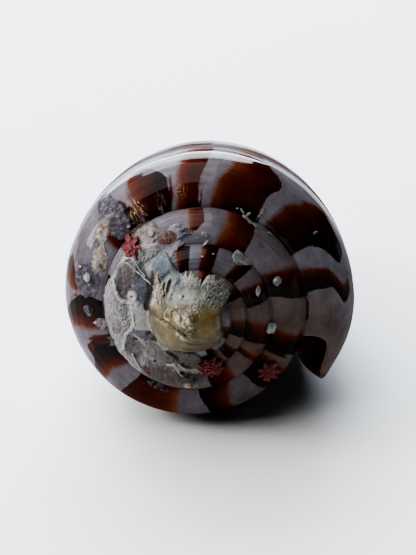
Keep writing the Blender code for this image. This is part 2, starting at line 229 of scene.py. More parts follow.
def make_shell_mesh():
    """The shell as one closed skin. Each whorl's suture shares the vertices of the whorl that it takes hold
    of; the hollow is a stack of rings between the outer wall's inside and the whorl before; a lip joins the
    two."""
    last = WHORLS * STEPS
    turns = (np.arange(last + 1) - last) / STEPS
    number = np.full((last + 1, FRONT + 1), -1)
    number[:, 1:SUTURE + 1] = np.arange((last + 1) * SUTURE).reshape(last + 1, SUTURE)
    used = (last + 1) * SUTURE
    beyond = FRONT - SUTURE
    number[last - STEPS:, SUTURE + 1:] = used + np.arange((STEPS + 1) * beyond).reshape(STEPS + 1, beyond)
    used += (STEPS + 1) * beyond
    apex, tip = used, used + 1
    number[STEPS:, 0] = number[:last + 1 - STEPS, SUTURE]
    number[:STEPS, 0] = apex
    used += 2

    grid_profile, grid_turn = np.meshgrid(profiles, turns)
    outside = shell_point(grid_profile, grid_turn, shell_relief(grid_profile, grid_turn))
    points = np.zeros((used, 3))
    marks = np.zeros((used, 3))
    real = number >= 0
    real[:, 0] = False
    points[number[real]] = outside[real]
    marks[number[real], 0] = grid_turn[real]
    marks[number[real], 1] = grid_profile[real]
    points[apex] = (0, 0, -0.6 * SUTURE_DEPTH * WHORL_GROWTH ** -WHORLS)
    marks[apex] = (-WHORLS, 0, 0)
    tip_point = np.array([0, 0, -FRONT_END * SHELL_LENGTH])
    points[tip] = tip_point
    marks[tip] = (0, 2, 1)

    quads = np.stack([number[:-1, :-1], number[1:, :-1], number[1:, 1:], number[:-1, 1:]], axis=-1)
    ramp = quads[:, :SUTURE].reshape(-1, 4)
    body = quads[last - STEPS:, SUTURE:].reshape(-1, 4)
    at_apex = ramp[:, 0] == ramp[:, 1]
    first, edge = number[0], number[last - STEPS:, FRONT]
    triangles = [ramp[at_apex][:, [0, 2, 3]],
                 np.stack([np.full(SUTURE - 1, apex), first[1:SUTURE], first[2:SUTURE + 1]], axis=-1),
                 np.stack([edge[:-1], edge[1:], np.full(STEPS, tip)], axis=-1)]
    faces = [ramp[~at_apex], body]

    inner_profiles = profiles + 0.16 * np.clip(1 - profiles / 0.6, 0, 1) ** 2
    depth = np.linspace(0, 1, RINGS + 1)[:, None] ** RING_BUNCHING
    ring_turn = -HOLLOW_TURNS * depth
    eased = np.clip(ring_turn * -HOLLOW_EASE, 0, 1)
    wall = wall_thickness(ring_turn)
    outer = shell_point(inner_profiles[None, :], ring_turn, wall)
    outer[..., 2] += 0.66 * wall * eased * smooth_step(inner_profiles, 1.9, 2)
    inner = shell_point(body_profiles + CORNER_WALL * eased * (body_profiles == ATTACH), ring_turn - 1,
                        SKIN)
    middle = (outer[:, -1] + inner[:, -1]) / 2 * eased + tip_point * (1 - eased)
    rings = np.concatenate([outer, middle[:, None], inner[:, ::-1]], axis=1)
    hollow = used + np.arange(rings.shape[0] * rings.shape[1]).reshape(rings.shape[:2])
    hollow[0, FRONT + 1] = tip
    hollow[0, FRONT + 2:] = number[last - STEPS, SUTURE:][::-1]
    points = np.concatenate([points, rings.reshape(-1, 3)])
    ring_marks = np.zeros(rings.shape)
    ring_marks[..., 0] = ring_turn
    ring_marks[..., 1] = np.concatenate([inner_profiles, [2], body_profiles[::-1]])
    ring_marks[..., 2] = 1.0
    marks = np.concatenate([marks, ring_marks.reshape(-1, 3)])
    around = np.roll(hollow, -1, axis=1)
    inside = np.stack([hollow[:-1], around[:-1], around[1:], hollow[1:]], axis=-1).reshape(-1, 4)
    faces.append(inside[:, ::-1])
    centre = len(points)
    points = np.concatenate([points, rings[-1].mean(axis=0)[None]])
    marks = np.concatenate([marks, [[-HOLLOW_TURNS, 1.5, 1]]])
    end = np.stack([hollow[-1], around[-1], np.full(rings.shape[1], centre)], axis=-1)
    triangles.append(end[:, ::-1])

    forward = outside[last] - outside[last - 1]
    forward *= LIP_ROUNDING / np.linalg.norm(forward, axis=1, keepdims=True)
    plane_out, plane_in = points[number[last]], points[hollow[0, :FRONT + 1]]
    points[number[last, 1:]] -= forward[1:]
    points[hollow[0, :FRONT + 1]] -= forward
    rim = [number[last]]
    for share in RIM_SHARES:
        rim.append(len(points) + np.arange(FRONT + 1))
        points = np.concatenate([points, plane_out * (1 - share) + plane_in * share])
        rim_marks = np.stack([np.zeros(FRONT + 1), profiles, np.full(FRONT + 1, share)], axis=-1)
        marks = np.concatenate([marks, rim_marks])
    rim.append(hollow[0, :FRONT + 1])
    for near, far in zip(rim[:-1], rim[1:]):
        faces.append(np.stack([near[:-1], near[1:], far[1:], far[:-1]], axis=-1))
    faces.append(np.array([[line[0] for line in rim], [line[-1] for line in rim]]))
    triangles.append(np.array([[rim[0][-1], tip, rim[3][-1]]]))
    return points, marks, np.concatenate(faces), np.concatenate(triangles)


def make_mesh(name, points, faces, triangles=(), values=None):
    """A closed smooth mesh laid down in the row frame, with loose points dropped and every face turned
    outwards. values holds one number, or three, for each point under the name that its material reads."""
    mesh = bpy.data.meshes.new(name)
    mesh.from_pydata(lay_down(points), [], [*np.asarray(faces).tolist(), *np.asarray(triangles).tolist()])
    for key, value in (values or {}).items():
        kind, field = ("FLOAT_VECTOR", "vector") if np.ndim(value) == 2 else ("FLOAT", "value")
        layer = mesh.attributes.new(key, kind, "POINT")
        layer.data.foreach_set(field, np.asarray(value, np.float32).ravel())
    shape = bmesh.new()
    shape.from_mesh(mesh)
    bmesh.ops.delete(shape, geom=[vertex for vertex in shape.verts if not vertex.link_faces],
                     context="VERTS")
    bmesh.ops.recalc_face_normals(shape, faces=shape.faces)
    shape.to_mesh(mesh)
    shape.free()
    mesh.shade_smooth()
    return mesh


def put_in_scene(name, data):
    """A new object of this data, unturned at the origin."""
    made = bpy.data.objects.new(name, data)
    bpy.context.scene.collection.objects.link(made)
    return made


def add_piece(mesh, material, slot, *nodes):
    """A piece that rides on the shell's one body, with its finish as its mesh's material, and stands for
    CAD nodes. The slot argument is not used.
    """
    mesh.materials.append(material)
    piece = put_in_scene(mesh.name, mesh)
    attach(piece, "root")
    if nodes:
        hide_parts(*nodes)


OVAL_SOFTNESS = 0.25


def patches(x, y, rows):
    """How strongly soft-edged ovals cover a point. A row: middle x and y, half sizes, lean in degrees,
    strength."""
    cover = np.zeros(np.shape(x))
    for middle_x, middle_y, half_long, half_wide, lean, strength in rows:
        c, s = math.cos(math.radians(lean)), math.sin(math.radians(lean))
        along = ((x - middle_x) * c + (y - middle_y) * s) / half_long
        across = ((y - middle_y) * c - (x - middle_x) * s) / half_wide
        within = smooth_step(np.hypot(along, across), 1 + OVAL_SOFTNESS, 1 - OVAL_SOFTNESS)
        cover = np.maximum(cover, strength * within)
    return cover


def marks_at(x, y, tables):
    """The cover of each table's ovals, under the table's name."""
    return {name: patches(x, y, rows) for name, rows in tables.items()}


# The brown blotches of the ramps. Each has a darkness and, from its inner end to its outer end, rows of
# profile, older edge and newer edge, the edges in turns back from the lip.
BLOTCHES = (
    (0.85, ((-0.1, -1.01, -0.972), (0.5, -1.005, -0.972), (1.1, -1.02, -0.975))),
    (0.8, ((-0.1, -0.965, -0.9), (0.5, -0.955, -0.905), (0.8, -0.948, -0.91), (1.15, -0.95, -0.92))),
    (0.75, ((-0.1, -0.872, -0.802), (0.45, -0.856, -0.818), (1.05, -0.862, -0.825))),
    (0.35, ((-0.1, -0.775, -0.695), (0.5, -0.778, -0.69), (1.12, -0.77, -0.7))),
    (0.75, ((-0.1, -0.668, -0.628), (0.3, -0.66, -0.612), (0.6, -0.665, -0.64), (1, -0.68, -0.66))),
    (0.4, ((0.05, -0.615, -0.605), (0.25, -0.622, -0.602), (0.5, -0.628, -0.61))),
    (0.8, ((-0.1, -0.592, -0.545), (0.3, -0.59, -0.532), (0.6, -0.585, -0.55), (0.95, -0.6, -0.575))),
    (0.55, ((0.45, -0.533, -0.52), (0.62, -0.536, -0.5), (0.72, -0.53, -0.492), (0.9, -0.525, -0.505))),
    (0.8, ((-0.1, -0.45, -0.392), (0.3, -0.45, -0.396), (0.5, -0.44, -0.405), (0.62, -0.43, -0.41))),
    (0.7, ((-0.1, -0.398, -0.347), (0.2, -0.392, -0.336), (0.5, -0.39, -0.336), (0.7, -0.386, -0.348),
           (0.86, -0.376, -0.362))),
    (0.45, ((-0.1, -0.334, -0.296), (0.4, -0.324, -0.296), (0.76, -0.322, -0.29), (1.06, -0.312, -0.287))),
    (0.55, ((-0.1, -0.283, -0.204), (0.4, -0.276, -0.209), (0.7, -0.268, -0.216), (0.92, -0.264, -0.232),
            (1.06, -0.262, -0.24))),
    (0.85, ((-0.1, -0.193, -0.128), (0.3, -0.187, -0.125), (0.5, -0.192, -0.136), (0.66, -0.192, -0.142),
            (0.78, -0.18, -0.15), (0.85, -0.168, -0.156))),
    (0.9, ((0.33, -0.142, -0.121), (0.5, -0.148, -0.122), (0.6, -0.15, -0.121), (0.7, -0.15, -0.124),
           (0.8, -0.146, -0.132))),
    (0.85, ((-0.1, -0.11, -0.066), (0.25, -0.095, -0.066), (0.4, -0.094, -0.07), (0.55, -0.099, -0.078),
            (0.72, -0.105, -0.089))),
    (0.5, ((-0.022, -0.06, -0.022), (0.024, -0.057, -0.024))),
    (0.2, ((-0.1, -1.378, -1.345), (0.34, -1.372, -1.345))),
    (0.2, ((0.28, -1.31, -1.295), (0.45, -1.314, -1.284), (0.9, -1.312, -1.288))),
    (0.5, ((-0.1, -1.262, -1.188), (0.4, -1.254, -1.196), (0.9, -1.25, -1.205))),
    (0.85, ((-0.1, -1.14, -1.086), (0.4, -1.124, -1.07), (0.9, -1.112, -1.06))),
    (0.8, ((-0.1, -1.02, -0.98), (0.4, -1.01, -0.975), (0.9, -1, -0.97))),
    (1, ((-0.1, -2.142, -2.076), (0.5, -2.13, -2.08), (0.9, -2.12, -2.082))),
)

# Plain strips across a whole ramp: a darkness, then the older and the newer edge at its inner and its outer
# end.
STRIPS = (
    (0.75, -2.04, -1.978, -2.03, -1.98), (0.4, -1.955, -1.938, -1.955, -1.935),
    (0.6, -1.9, -1.83, -1.885, -1.835), (0.7, -1.64, -1.6, -1.64, -1.6), (0.7, -1.53, -1.49, -1.53, -1.49),
    (0.8, -3.04, -2.99, -3.03, -2.99), (0.8, -2.95, -2.92, -2.945, -2.915),
    (0.8, -2.9, -2.81, -2.9, -2.82), (0.85, -2.352, -2.318, -2.348, -2.31),
    (0.9, -2.29, -2.246, -2.284, -2.244), (0.95, -2.206, -2.166, -2.188, -2.158),
    (0.8, -3.3, -3.235, -3.29, -3.225), (0.85, -3.168, -3.13, -3.162, -3.118),
    (0.85, -3.055, -2.99, -3.05, -2.985), (0.9, -3.72, -3.69, -3.74, -3.7),
    (0.9, -3.9, -3.86, -3.9, -3.86), (0.9, -4.04, -3.975, -4.03, -3.96),
)
RAMP_SPAN = (-0.1, 0.9)

# Rows of squarish blotches round the body: middle and half height on the profile, and how many to a turn.
BODY_ROWS = ((1.18, 0.066, 13), (1.38, 0.078, 11), (1.59, 0.073, 10), (1.79, 0.063, 9), (1.935, 0.028, 8))


def body_blotches():
    """The body's blotches in the form of BLOTCHES, each a little off its even place and of its own size."""
    chance = np.random.default_rng(11)
    rows = []
    for middle, half, count in BODY_ROWS:
        for k in range(count + 1):
            turn = -1.0 + (k + chance.uniform(-0.22, 0.22)) / count
            low = middle - half + chance.uniform(-0.008, 0.008)
            high = middle + half + chance.uniform(-0.008, 0.008)
            edges = []
            for profile in (low, (low + high) / 2, high):
                width = chance.uniform(0.22, 0.36) / count
                shift = chance.uniform(-0.1, 0.1) / count
                edges.append((profile, turn + shift - width, turn + shift + width))
            rows.append((chance.uniform(0.5, 0.95), tuple(edges)))
    return rows


# Length and radius of the last ramp, by which a blotch is measured; how wide its soft older edge is; and
# how far it spreads over its measured edges, with how sharp its corners.
RAMP_LENGTH = 7.1
RAMP_RADIUS = 11.9
SOFT_EDGE = 2.0
SPREAD = 0.1
CORNER_SHARPNESS = 8.0


def blotch_fields(turn, profile):
    """For each point: how far inside a blotch it is, in millimetres, as a soft least of the distances to
    its edges; how far the soft older edge has filled in, from 0 to 1 over half the blotch's width at most;
    and the darkness there, greatest at the newer edge and at the suture. Where blotches meet, the fuller
    one counts."""
    inside = np.full(turn.shape, -9.0)
    full = np.zeros(turn.shape)
    dark = np.zeros(turn.shape)
    size = WHORL_GROWTH ** turn
    strips = [(depth, ((RAMP_SPAN[0], *edges[:2]), (RAMP_SPAN[1], *edges[2:]))) for depth, *edges in STRIPS]
    for depth, rows in [*BLOTCHES, *strips, *body_blotches()]:
        levels, older, newer = np.array(rows).T
        a, b = np.interp(profile, levels, older), np.interp(profile, levels, newer)
        round_shell = 2 * np.pi * RAMP_RADIUS * size
        ends = [beyond * RAMP_LENGTH * size for beyond in (profile - levels[0], levels[-1] - profile)]
        past, left = (turn - a) * round_shell, (b - turn) * round_shell
        fade = np.clip(0.6 * (past + left), 0.2 * size, SOFT_EDGE * size ** 0.5)
        sharp = CORNER_SHARPNESS / size
        nearness = sum(np.exp(np.clip(-sharp * part, -40, 40)) for part in (past + 0.4 * fade, left, *ends))
        field = SPREAD * size - np.log(nearness) / sharp
        filled = smooth_step(past, -0.3 * fade, 1.1 * fade)
        along = np.clip(2 * past / np.maximum(past + left, 0.01) - 1, -1.2, 1.2)
        shade = depth + 0.2 * along + 0.4 * bump(profile, 0.1)
        weight = filled * smooth_step(field, -0.4, 0)
        dark = np.where(weight >= full, shade, dark)
        full = np.maximum(full, weight)
        inside = np.maximum(inside, field)
    return inside, full, dark


def add_node(tree, kind, inputs=None, **settings):
    """A new shader node: settings are its own properties, inputs its sockets, each a value or another's
    output."""
    made = tree.nodes.new(kind)
    for name, value in settings.items():
        setattr(made, name, value)
    for name, value in (inputs or {}).items():
        if isinstance(value, bpy.types.NodeSocket):
            tree.links.new(value, made.inputs[name])
        else:
            made.inputs[name].default_value = value
    return made


class Finish:
    """A material with one Principled shader, short ways to build what feeds it, and the colour painted so
    far. Where a way takes an output, it also takes the name of a number that the mesh carries at each
    point."""

    def __init__(self, name):
        self.material = bpy.data.materials.new(name)
        self.material.use_nodes = True
        self.tree = self.material.node_tree
        self.shader = self.tree.nodes["Principled BSDF"]
        self.place = add_node(self.tree, "ShaderNodeTexCoord").outputs["Object"]
        self.colour = None

    def read(self, source, output="Fac"):
        """The output of a mark on the mesh, or what was given if it isn't a name."""
        if isinstance(source, str):
            return add_node(self.tree, "ShaderNodeAttribute", attribute_name=source).outputs[output]
        return source

    def noise(self, scale, detail=3, roughness=0.5, vector=None):
        """Soft noise about 0.5 over the object, or over another vector, at one scale or at three."""
        vector = vector or self.place
        if isinstance(scale, tuple):
            stretched = add_node(self.tree, "ShaderNodeVectorMath", {0: vector, 1: scale},
                                 operation="MULTIPLY")
            vector, scale = stretched.outputs["Vector"], 1.0
        inputs = {"Vector": vector, "Scale": scale, "Detail": detail, "Roughness": roughness}
        return add_node(self.tree, "ShaderNodeTexNoise", inputs).outputs["Fac"]

    def cells(self, scale):
        """Distance to the nearest of many scattered points."""
        made = add_node(self.tree, "ShaderNodeTexVoronoi", {"Vector": self.place, "Scale": scale})
        return made.outputs["Distance"]

    def sum(self, *terms):
        """A sum of outputs, each given alone or with its factor, and of plain numbers."""
        total = 0.0
        for term in terms:
            source, factor = term if isinstance(term, tuple) else (term, 1)
            inputs = {0: self.read(source), 1: factor, 2: total}
            total = add_node(self.tree, "ShaderNodeMath", inputs, operation="MULTIPLY_ADD").outputs[0]
        return total

    def product(self, first, second):
        """One output times another, or a number."""
        inputs = {0: self.read(first), 1: self.read(second)}
        return add_node(self.tree, "ShaderNodeMath", inputs, operation="MULTIPLY").outputs[0]

    def rise(self, value, low, high, start=0, end=1):
        """start below low, end above high, and an S-curve between."""
        inputs = {"Value": value, "From Min": low, "From Max": high, "To Min": start, "To Max": end}
        made = add_node(self.tree, "ShaderNodeMapRange", inputs, interpolation_type="SMOOTHSTEP")
        return made.outputs["Result"]

    def tones(self, value, *stops):
        """A colour along a row of stops, each a place and a colour."""
        made = add_node(self.tree, "ShaderNodeValToRGB", {"Fac": value})
        row = made.color_ramp.elements
        while len(row) < len(stops):
            row.new(1)
        for element, (place, colour) in zip(row, stops):
            element.position = place
            element.color = (*colour, 1)
        return made.outputs["Color"]

    def blend(self, amount, first, second, kind="MIX"):
        """One colour over another by an amount. Sockets 6 and 7 of the node are its two colours, and 2 the
        result."""
        inputs = {0: self.read(amount)}
        for socket, value in ((6, first), (7, second)):
            inputs[socket] = value if isinstance(value, bpy.types.NodeSocket) else (*value, 1)
        return add_node(self.tree, "ShaderNodeMix", inputs, data_type="RGBA", blend_type=kind).outputs[2]

    def tinted(self, tint, colour=None):
        """The colour painted so far, or another, times a tint."""
        return self.blend(1, colour or self.colour, tint, "MULTIPLY")

    def paint(self, amount, colour, share=1):
        """Lays a colour over what is painted so far, by a share of an amount."""
        if share != 1.0:
            amount = self.product(amount, share)
        self.colour = self.blend(amount, self.colour, colour)

    def set(self, **values):
        """Sets sockets of the shader: an underscore in a name stands for a space."""
        for name, value in values.items():
            socket = self.shader.inputs[name.replace("_", " ")]
            if isinstance(value, bpy.types.NodeSocket):
                self.tree.links.new(value, socket)
            else:
                socket.default_value = value

    def relief(self, *layers):
        """Bumps, each a height, its depth in millimetres and its strength, one on top of the other."""
        normal = None
        for height, depth, strength in layers:
            inputs = {"Height": height, "Distance": depth * MM, "Strength": strength}
            if normal:
                inputs["Normal"] = normal
            normal = add_node(self.tree, "ShaderNodeBump", inputs).outputs["Normal"]
        self.tree.links.new(normal, self.shader.inputs["Normal"])


def porcelain():
    """Glossy shell: lilac white with growth lines and spiral streaks, red-brown blotches that fade through
    orange on their older side, dull films of lime, a tan tint near the lip, a maroon inside and an amber
    lip.
    Painted shade: a brown band just under the shoulder stands in for the dark edge along the outline, a
    dark line runs along each suture, the ground is darker on the inner whorls beside the lip, and the
    inside grows darker deeper in the hollow."""
    finish = Finish("porcelain")
    growth = finish.read("growth", "Vector")
    lines = finish.noise((240, 3, 1), 3, 0.6, growth)
    spirals = finish.noise((9, 42, 1), 3, 0.6, growth)
    stripes = finish.noise((430, 7, 1), 2, 0.5, growth)
    beads = finish.noise((260, 40, 1), 2, 0.5, growth)
    clouds = finish.noise(420, 4, 0.6)
    patchy = finish.noise(1500, 4, 0.7)
    grains = finish.noise(5200, 3, 0.6)
    crystals = finish.noise(2700, 5, 0.75)

    finish.colour = finish.tones(clouds, (0.3, (0.09, 0.075, 0.082)), (0.5, (0.13, 0.115, 0.132)),
                                 (0.7, (0.17, 0.157, 0.185)))
    finish.paint(finish.rise(spirals, 0.52, 0.75, 0, 0.6), (0.21, 0.195, 0.2))
    finish.paint(finish.rise(lines, 0.5, 0.8, 0, 0.4), (0.09, 0.068, 0.066))
    finish.paint("cool", finish.tinted((0.98, 1.12, 1.16)))
    # A tan tint near the lip; on the inner whorls beside the lip the same darkening is painted shade.
    finish.paint("tan_and_shade", finish.tinted((0.72, 0.57, 0.42)))

    filled = finish.sum("full", (spirals, 0.3), (clouds, 0.3), (lines, 0.15), -0.38)
    depth = finish.sum((filled, 0.5), ("dark", 0.5), (clouds, 0.5), (spirals, 0.15), -0.32)
    brown = finish.tones(depth, (0.08, (0.15, 0.09, 0.055)), (0.28, (0.125, 0.047, 0.02)),
                         (0.5, (0.09, 0.021, 0.009)), (0.72, (0.052, 0.009, 0.005)),
                         (1, (0.009, 0.003, 0.0025)))
    ragged = finish.sum("inside", (spirals, 0.07), (lines, 0.25), (patchy, 0.3), -0.3)
    finish.paint(finish.product(finish.rise(ragged, -0.04, 0.1), finish.rise(filled, 0.02, 0.4)), brown)
    # Painted shade: a brown band just under the shoulder stands in for the dark edge along the outline.
    finish.paint("rim", finish.tones(lines, (0.3, (0.07, 0.05, 0.042)), (0.7, (0.12, 0.097, 0.085))))
    finish.paint(finish.product(finish.rise(stripes, 0.5, 0.62), "striped"), (0.27, 0.2, 0.13), 0.8)
    finish.paint(finish.product(finish.rise(beads, 0.62, 0.72), "striped"), (0.5, 0.47, 0.42))
    # The inside's maroon, with an amber edge at the lip, painted darker deeper in the hollow as shade.
    maroon = finish.tones(finish.sum("depth", (clouds, 0.1), -0.05), (0, (0.34, 0.2, 0.1)),
                          (0.025, (0.25, 0.09, 0.045)), (0.06, (0.17, 0.03, 0.022)),
                          (0.15, (0.13, 0.014, 0.014)), (1, (0.05, 0.006, 0.008)))
    finish.paint("within", maroon)

    filmed = finish.rise(finish.sum("film", (patchy, 1.3), (grains, 0.7), (clouds, 0.4), -1.6), -0.06, 0.12)
    specks = finish.sum((crystals, 0.8), (patchy, 0.5), -0.15)
    greys = finish.tones(specks, (0.36, (0.04, 0.032, 0.037)), (0.5, (0.085, 0.077, 0.09)),
                         (0.62, (0.17, 0.16, 0.185)), (0.72, (0.4, 0.39, 0.42)))
    creams = finish.tones(specks, (0.36, (0.13, 0.09, 0.06)), (0.5, (0.26, 0.22, 0.18)),
                          (0.66, (0.5, 0.46, 0.42)))
    finish.paint(filmed, finish.blend("cream", greys, creams), 0.9)
    # Painted shade: a dark line along each suture.
    finish.paint("suture_shade", (0.03, 0.012, 0.008), 0.6)

    rough = finish.sum((clouds, 0.15), (filmed, 0.45), (spirals, 0.1), ("within", 0.3), 0.06)
    finish.set(Base_Color=finish.colour, Roughness=rough, Specular_IOR_Level=0)
    finish.set(Coat_Weight=finish.read("gloss"), Coat_IOR=1.4, Coat_Roughness=0.07)
    crust = finish.product(finish.sum(crystals, patchy), filmed)
    beaded = finish.product(finish.sum(beads, stripes), "striped")
    finish.relief((spirals, 0.05, 0.5), (lines, 0.05, 0.5), (crust, 0.14, 0.8), (beaded, 0.05, 0.8))
    return finish.material


shell_points, shell_marks, shell_faces, shell_triangles = make_shell_mesh()
shell_turn, shell_profile, shell_within = shell_marks.T
shell_inside, shell_full, shell_dark = blotch_fields(shell_turn, shell_profile)


# Ovals on the plan of the spire: thin dull films of lime on the last two whorls, how creamy each is, and
# where old growth lines show as pale stripes.
SHELL_MARKS = {
    "film": (
        (-6.9, 7.5, 1.9, 1.15, -53, 0.95), (-8, 6.2, 1.3, 0.6, 70, 0.6), (-8.1, 4.1, 1.2, 0.75, 80, 0.62),
        (-9.25, 2.2, 1.05, 1.5, 0, 0.85), (-9.2, -0.4, 0.5, 0.6, 0, 0.5), (-8.1, -1.5, 0.6, 0.5, 0, 0.75),
        (-4.5, 6.3, 1.7, 0.85, 30, 0.85), (-3.2, -7.05, 1.1, 0.4, -25, 0.5), (-0.6, 6.9, 0.6, 0.4, 0, 0.5),
        (-2.2, 5.4, 0.9, 0.35, -15, 0.75), (-4.8, 7.6, 0.9, 0.3, 35, 0.5), (-7.6, 0.4, 0.3, 1.6, 0, 0.6),
    ),
    "cream": (
        (-8.1, 4.1, 1.2, 0.8, 80, 1), (-4.4, 6.3, 1.8, 0.9, 30, 0.6), (-8.1, -1.5, 0.7, 0.6, 0, 0.5),
        (-2.2, 5.4, 1, 0.4, -15, 0.5), (-7.9, 6.3, 1, 0.5, 70, 0.7),
    ),
    "striped": (
        (-4.9, 8.2, 1.1, 0.75, 120, 1), (-1.2, 9.9, 0.55, 0.5, 90, 0.7), (-2.9, 8.9, 0.9, 0.4, 100, 0.45),
    ),
}

shell_x, shell_y = shell_points[:, 0], shell_points[:, 1]
shell_open = shell_within == 0
shell_values = marks_at(shell_x, shell_y, SHELL_MARKS)
shell_values["film"] *= shell_open * smooth_step(shell_profile, 1, 0.9)
shell_values["striped"] *= shell_open * (shell_profile < 0.7)
shell_values.update({
    "growth": shell_marks,
    "inside": shell_inside,
    "full": shell_full,
    "dark": shell_dark,
    # Tan near the lip, and painted shade on the inner whorls beside the lip.
    "tan_and_shade": (0.7 * smooth_step(shell_turn, -0.1, -0.03) + bump(shell_turn + 1, 0.14)
            + bump(shell_turn + 2, 0.2) + bump(shell_turn + 3, 0.3)
            + 0.5 * smooth_step(shell_profile, 0.75, 1) * smooth_step(shell_turn, -0.22, -0.14)),
    "cool": bump(shell_turn + 2.33, 0.15),
    # A brown band just under the shoulder: painted shade along the outline.
    "rim": (0.6 * smooth_step(shell_profile, 1.05, 1.08) * smooth_step(shell_profile, 1.16, 1.11)
            * shell_open),
    "gloss": ((0.1 + 0.35 * smooth_step(shell_y - 0.6 * shell_x, -6, 2)) * (1 - 0.8 * shell_values["film"])
              * smooth_step(np.abs(shell_profile - 1.1), 0.03, 0.07) * (1 - 0.6 * shell_within)),
    "within": shell_within,
    # How far into the hollow a point lies; the inside is painted darker there as shade.
    "depth": np.clip(-shell_turn / 0.35, 0, 1),
    # Painted shade along each suture.
    "suture_shade": bump(shell_profile, 0.007) * shell_open,
})
shell_mesh = make_mesh("shell", shell_points, shell_faces, shell_triangles, shell_values)
shell_mesh.set_sharp_from_angle(angle=math.radians(60))
add_piece(shell_mesh, porcelain(), "shell", "cone_shell")

# ------------------------------------------------------------------------------------------ the lime crust
# Lime laid down by small animals on the last whorl but one: a rough grey-white sheet over its suture, with
# the raised rims of two old attachment scars, smooth patches, pits, small knobs and cords of old worm
# tubes.
def spire_height(x, y):
    """Height of the spire's surface over a point of its plan, from the whorl that shows there."""
    radius = np.maximum(np.hypot(x, y), 0.05)
    turn = ((LIP_ANGLE - np.arctan2(y, x)) / (2 * np.pi)) % 1.0
    turn = turn + np.floor(np.log(radius / SUTURE_RADIUS) / math.log(WHORL_GROWTH) - turn)
    turn = np.minimum(turn, turn % 1.0 - 1)
    size = WHORL_GROWTH ** turn
    sine = np.clip((radius / size - SUTURE_RADIUS) / (SHOULDER_RADIUS - SUTURE_RADIUS), 0, 0.999)
    return -size * (SUTURE_DEPTH + (SHOULDER_DEPTH - SUTURE_DEPTH) * (1 - np.sqrt(1 - sine * sine)))


def filled_height(x, y, reach):
    """The spire's height averaged over a ring and its middle, so that the grooves are partly filled."""
    total = spire_height(x, y)
    for angle in np.arange(6) * math.pi / 3:
        total = total + spire_height(x + reach * math.cos(angle), y + reach * math.sin(angle))
    return total / 7


def rope(distance, half_width):
    """The rounded back of a cord of this half width."""
    return np.sqrt(np.clip(1 - (distance / half_width) ** 2, 0, 1))


def cell_noise(x, y, seed, scale):
    """Distance, in squares, to the nearest of many points scattered one to a square."""
    scatter = np.random.default_rng(seed).uniform(0, 1, (LATTICE, LATTICE, 2))
    x, y = x * scale, y * scale
    column, row = np.floor(x).astype(int), np.floor(y).astype(int)
    nearest = np.full(np.shape(x), 9.0)
    for right in (-1, 0, 1):
        for up in (-1, 0, 1):
            spot = scatter[(row + up) % LATTICE, (column + right) % LATTICE]
            away_x, away_y = column + right + spot[..., 0] - x, row + up + spot[..., 1] - y
            nearest = np.minimum(nearest, np.hypot(away_x, away_y))
    return nearest


def line_distance(x, y, line):
    """Distance on the plan to a broken line."""
    nearest = np.full(np.shape(x), 99.0)
    for (x0, y0), (x1, y1) in zip(line[:-1], line[1:]):
        share = ((x - x0) * (x1 - x0) + (y - y0) * (y1 - y0)) / ((x1 - x0) ** 2 + (y1 - y0) ** 2)
        share = np.clip(share, 0, 1)
        nearest = np.minimum(nearest, np.hypot(x - x0 - share * (x1 - x0), y - y0 - share * (y1 - y0)))
    return nearest


def skin_mesh(name, x, y, top, under, wraps, values):
    """A closed skin over the spire: a top and an underside over one grid, joined along its border. A grid
    that wraps is a disc whose first row is a single point."""
    rows, columns = x.shape
    number = np.arange(rows * columns).reshape(rows, columns)
    if wraps:
        number = np.concatenate([number, number[:, :1]], axis=1)
        number[0] = 0
    quads = np.stack([number[:-1, :-1], number[:-1, 1:], number[1:, 1:], number[1:, :-1]], axis=-1)
    quads = quads.reshape(-1, 4)
    shut = quads[:, 0] == quads[:, 1]
    edges = [number[-1]] if wraps else [number[0][::-1], number[:, 0], number[-1], number[::-1, -1]]
    below = rows * columns
    sides = [np.stack([edge[:-1], edge[1:], edge[1:] + below, edge[:-1] + below], axis=-1)
             for edge in edges]
    faces = np.concatenate([quads[~shut], quads[~shut][:, ::-1] + below, *sides])
    fans = quads[shut][:, [0, 2, 3]]
    points = np.concatenate([np.stack([x, y, height], axis=-1).reshape(-1, 3) for height in (top, under)])
    doubled = {key: np.tile(value.ravel(), 2) for key, value in values.items()}
    return make_mesh(name, points, faces, np.concatenate([fans, fans[:, ::-1] + below]), doubled)


# Where the crust starts and how far round it runs, in degrees; then how widely it fills the grooves, how
# far its edge is sunk in, and how far its underside lies below the spire.
CRUST_FROM = 98.0
CRUST_SPAN = 183.0
CRUST_FILL = 0.3
CRUST_SUNK = 0.04
CRUST_UNDER = 0.08

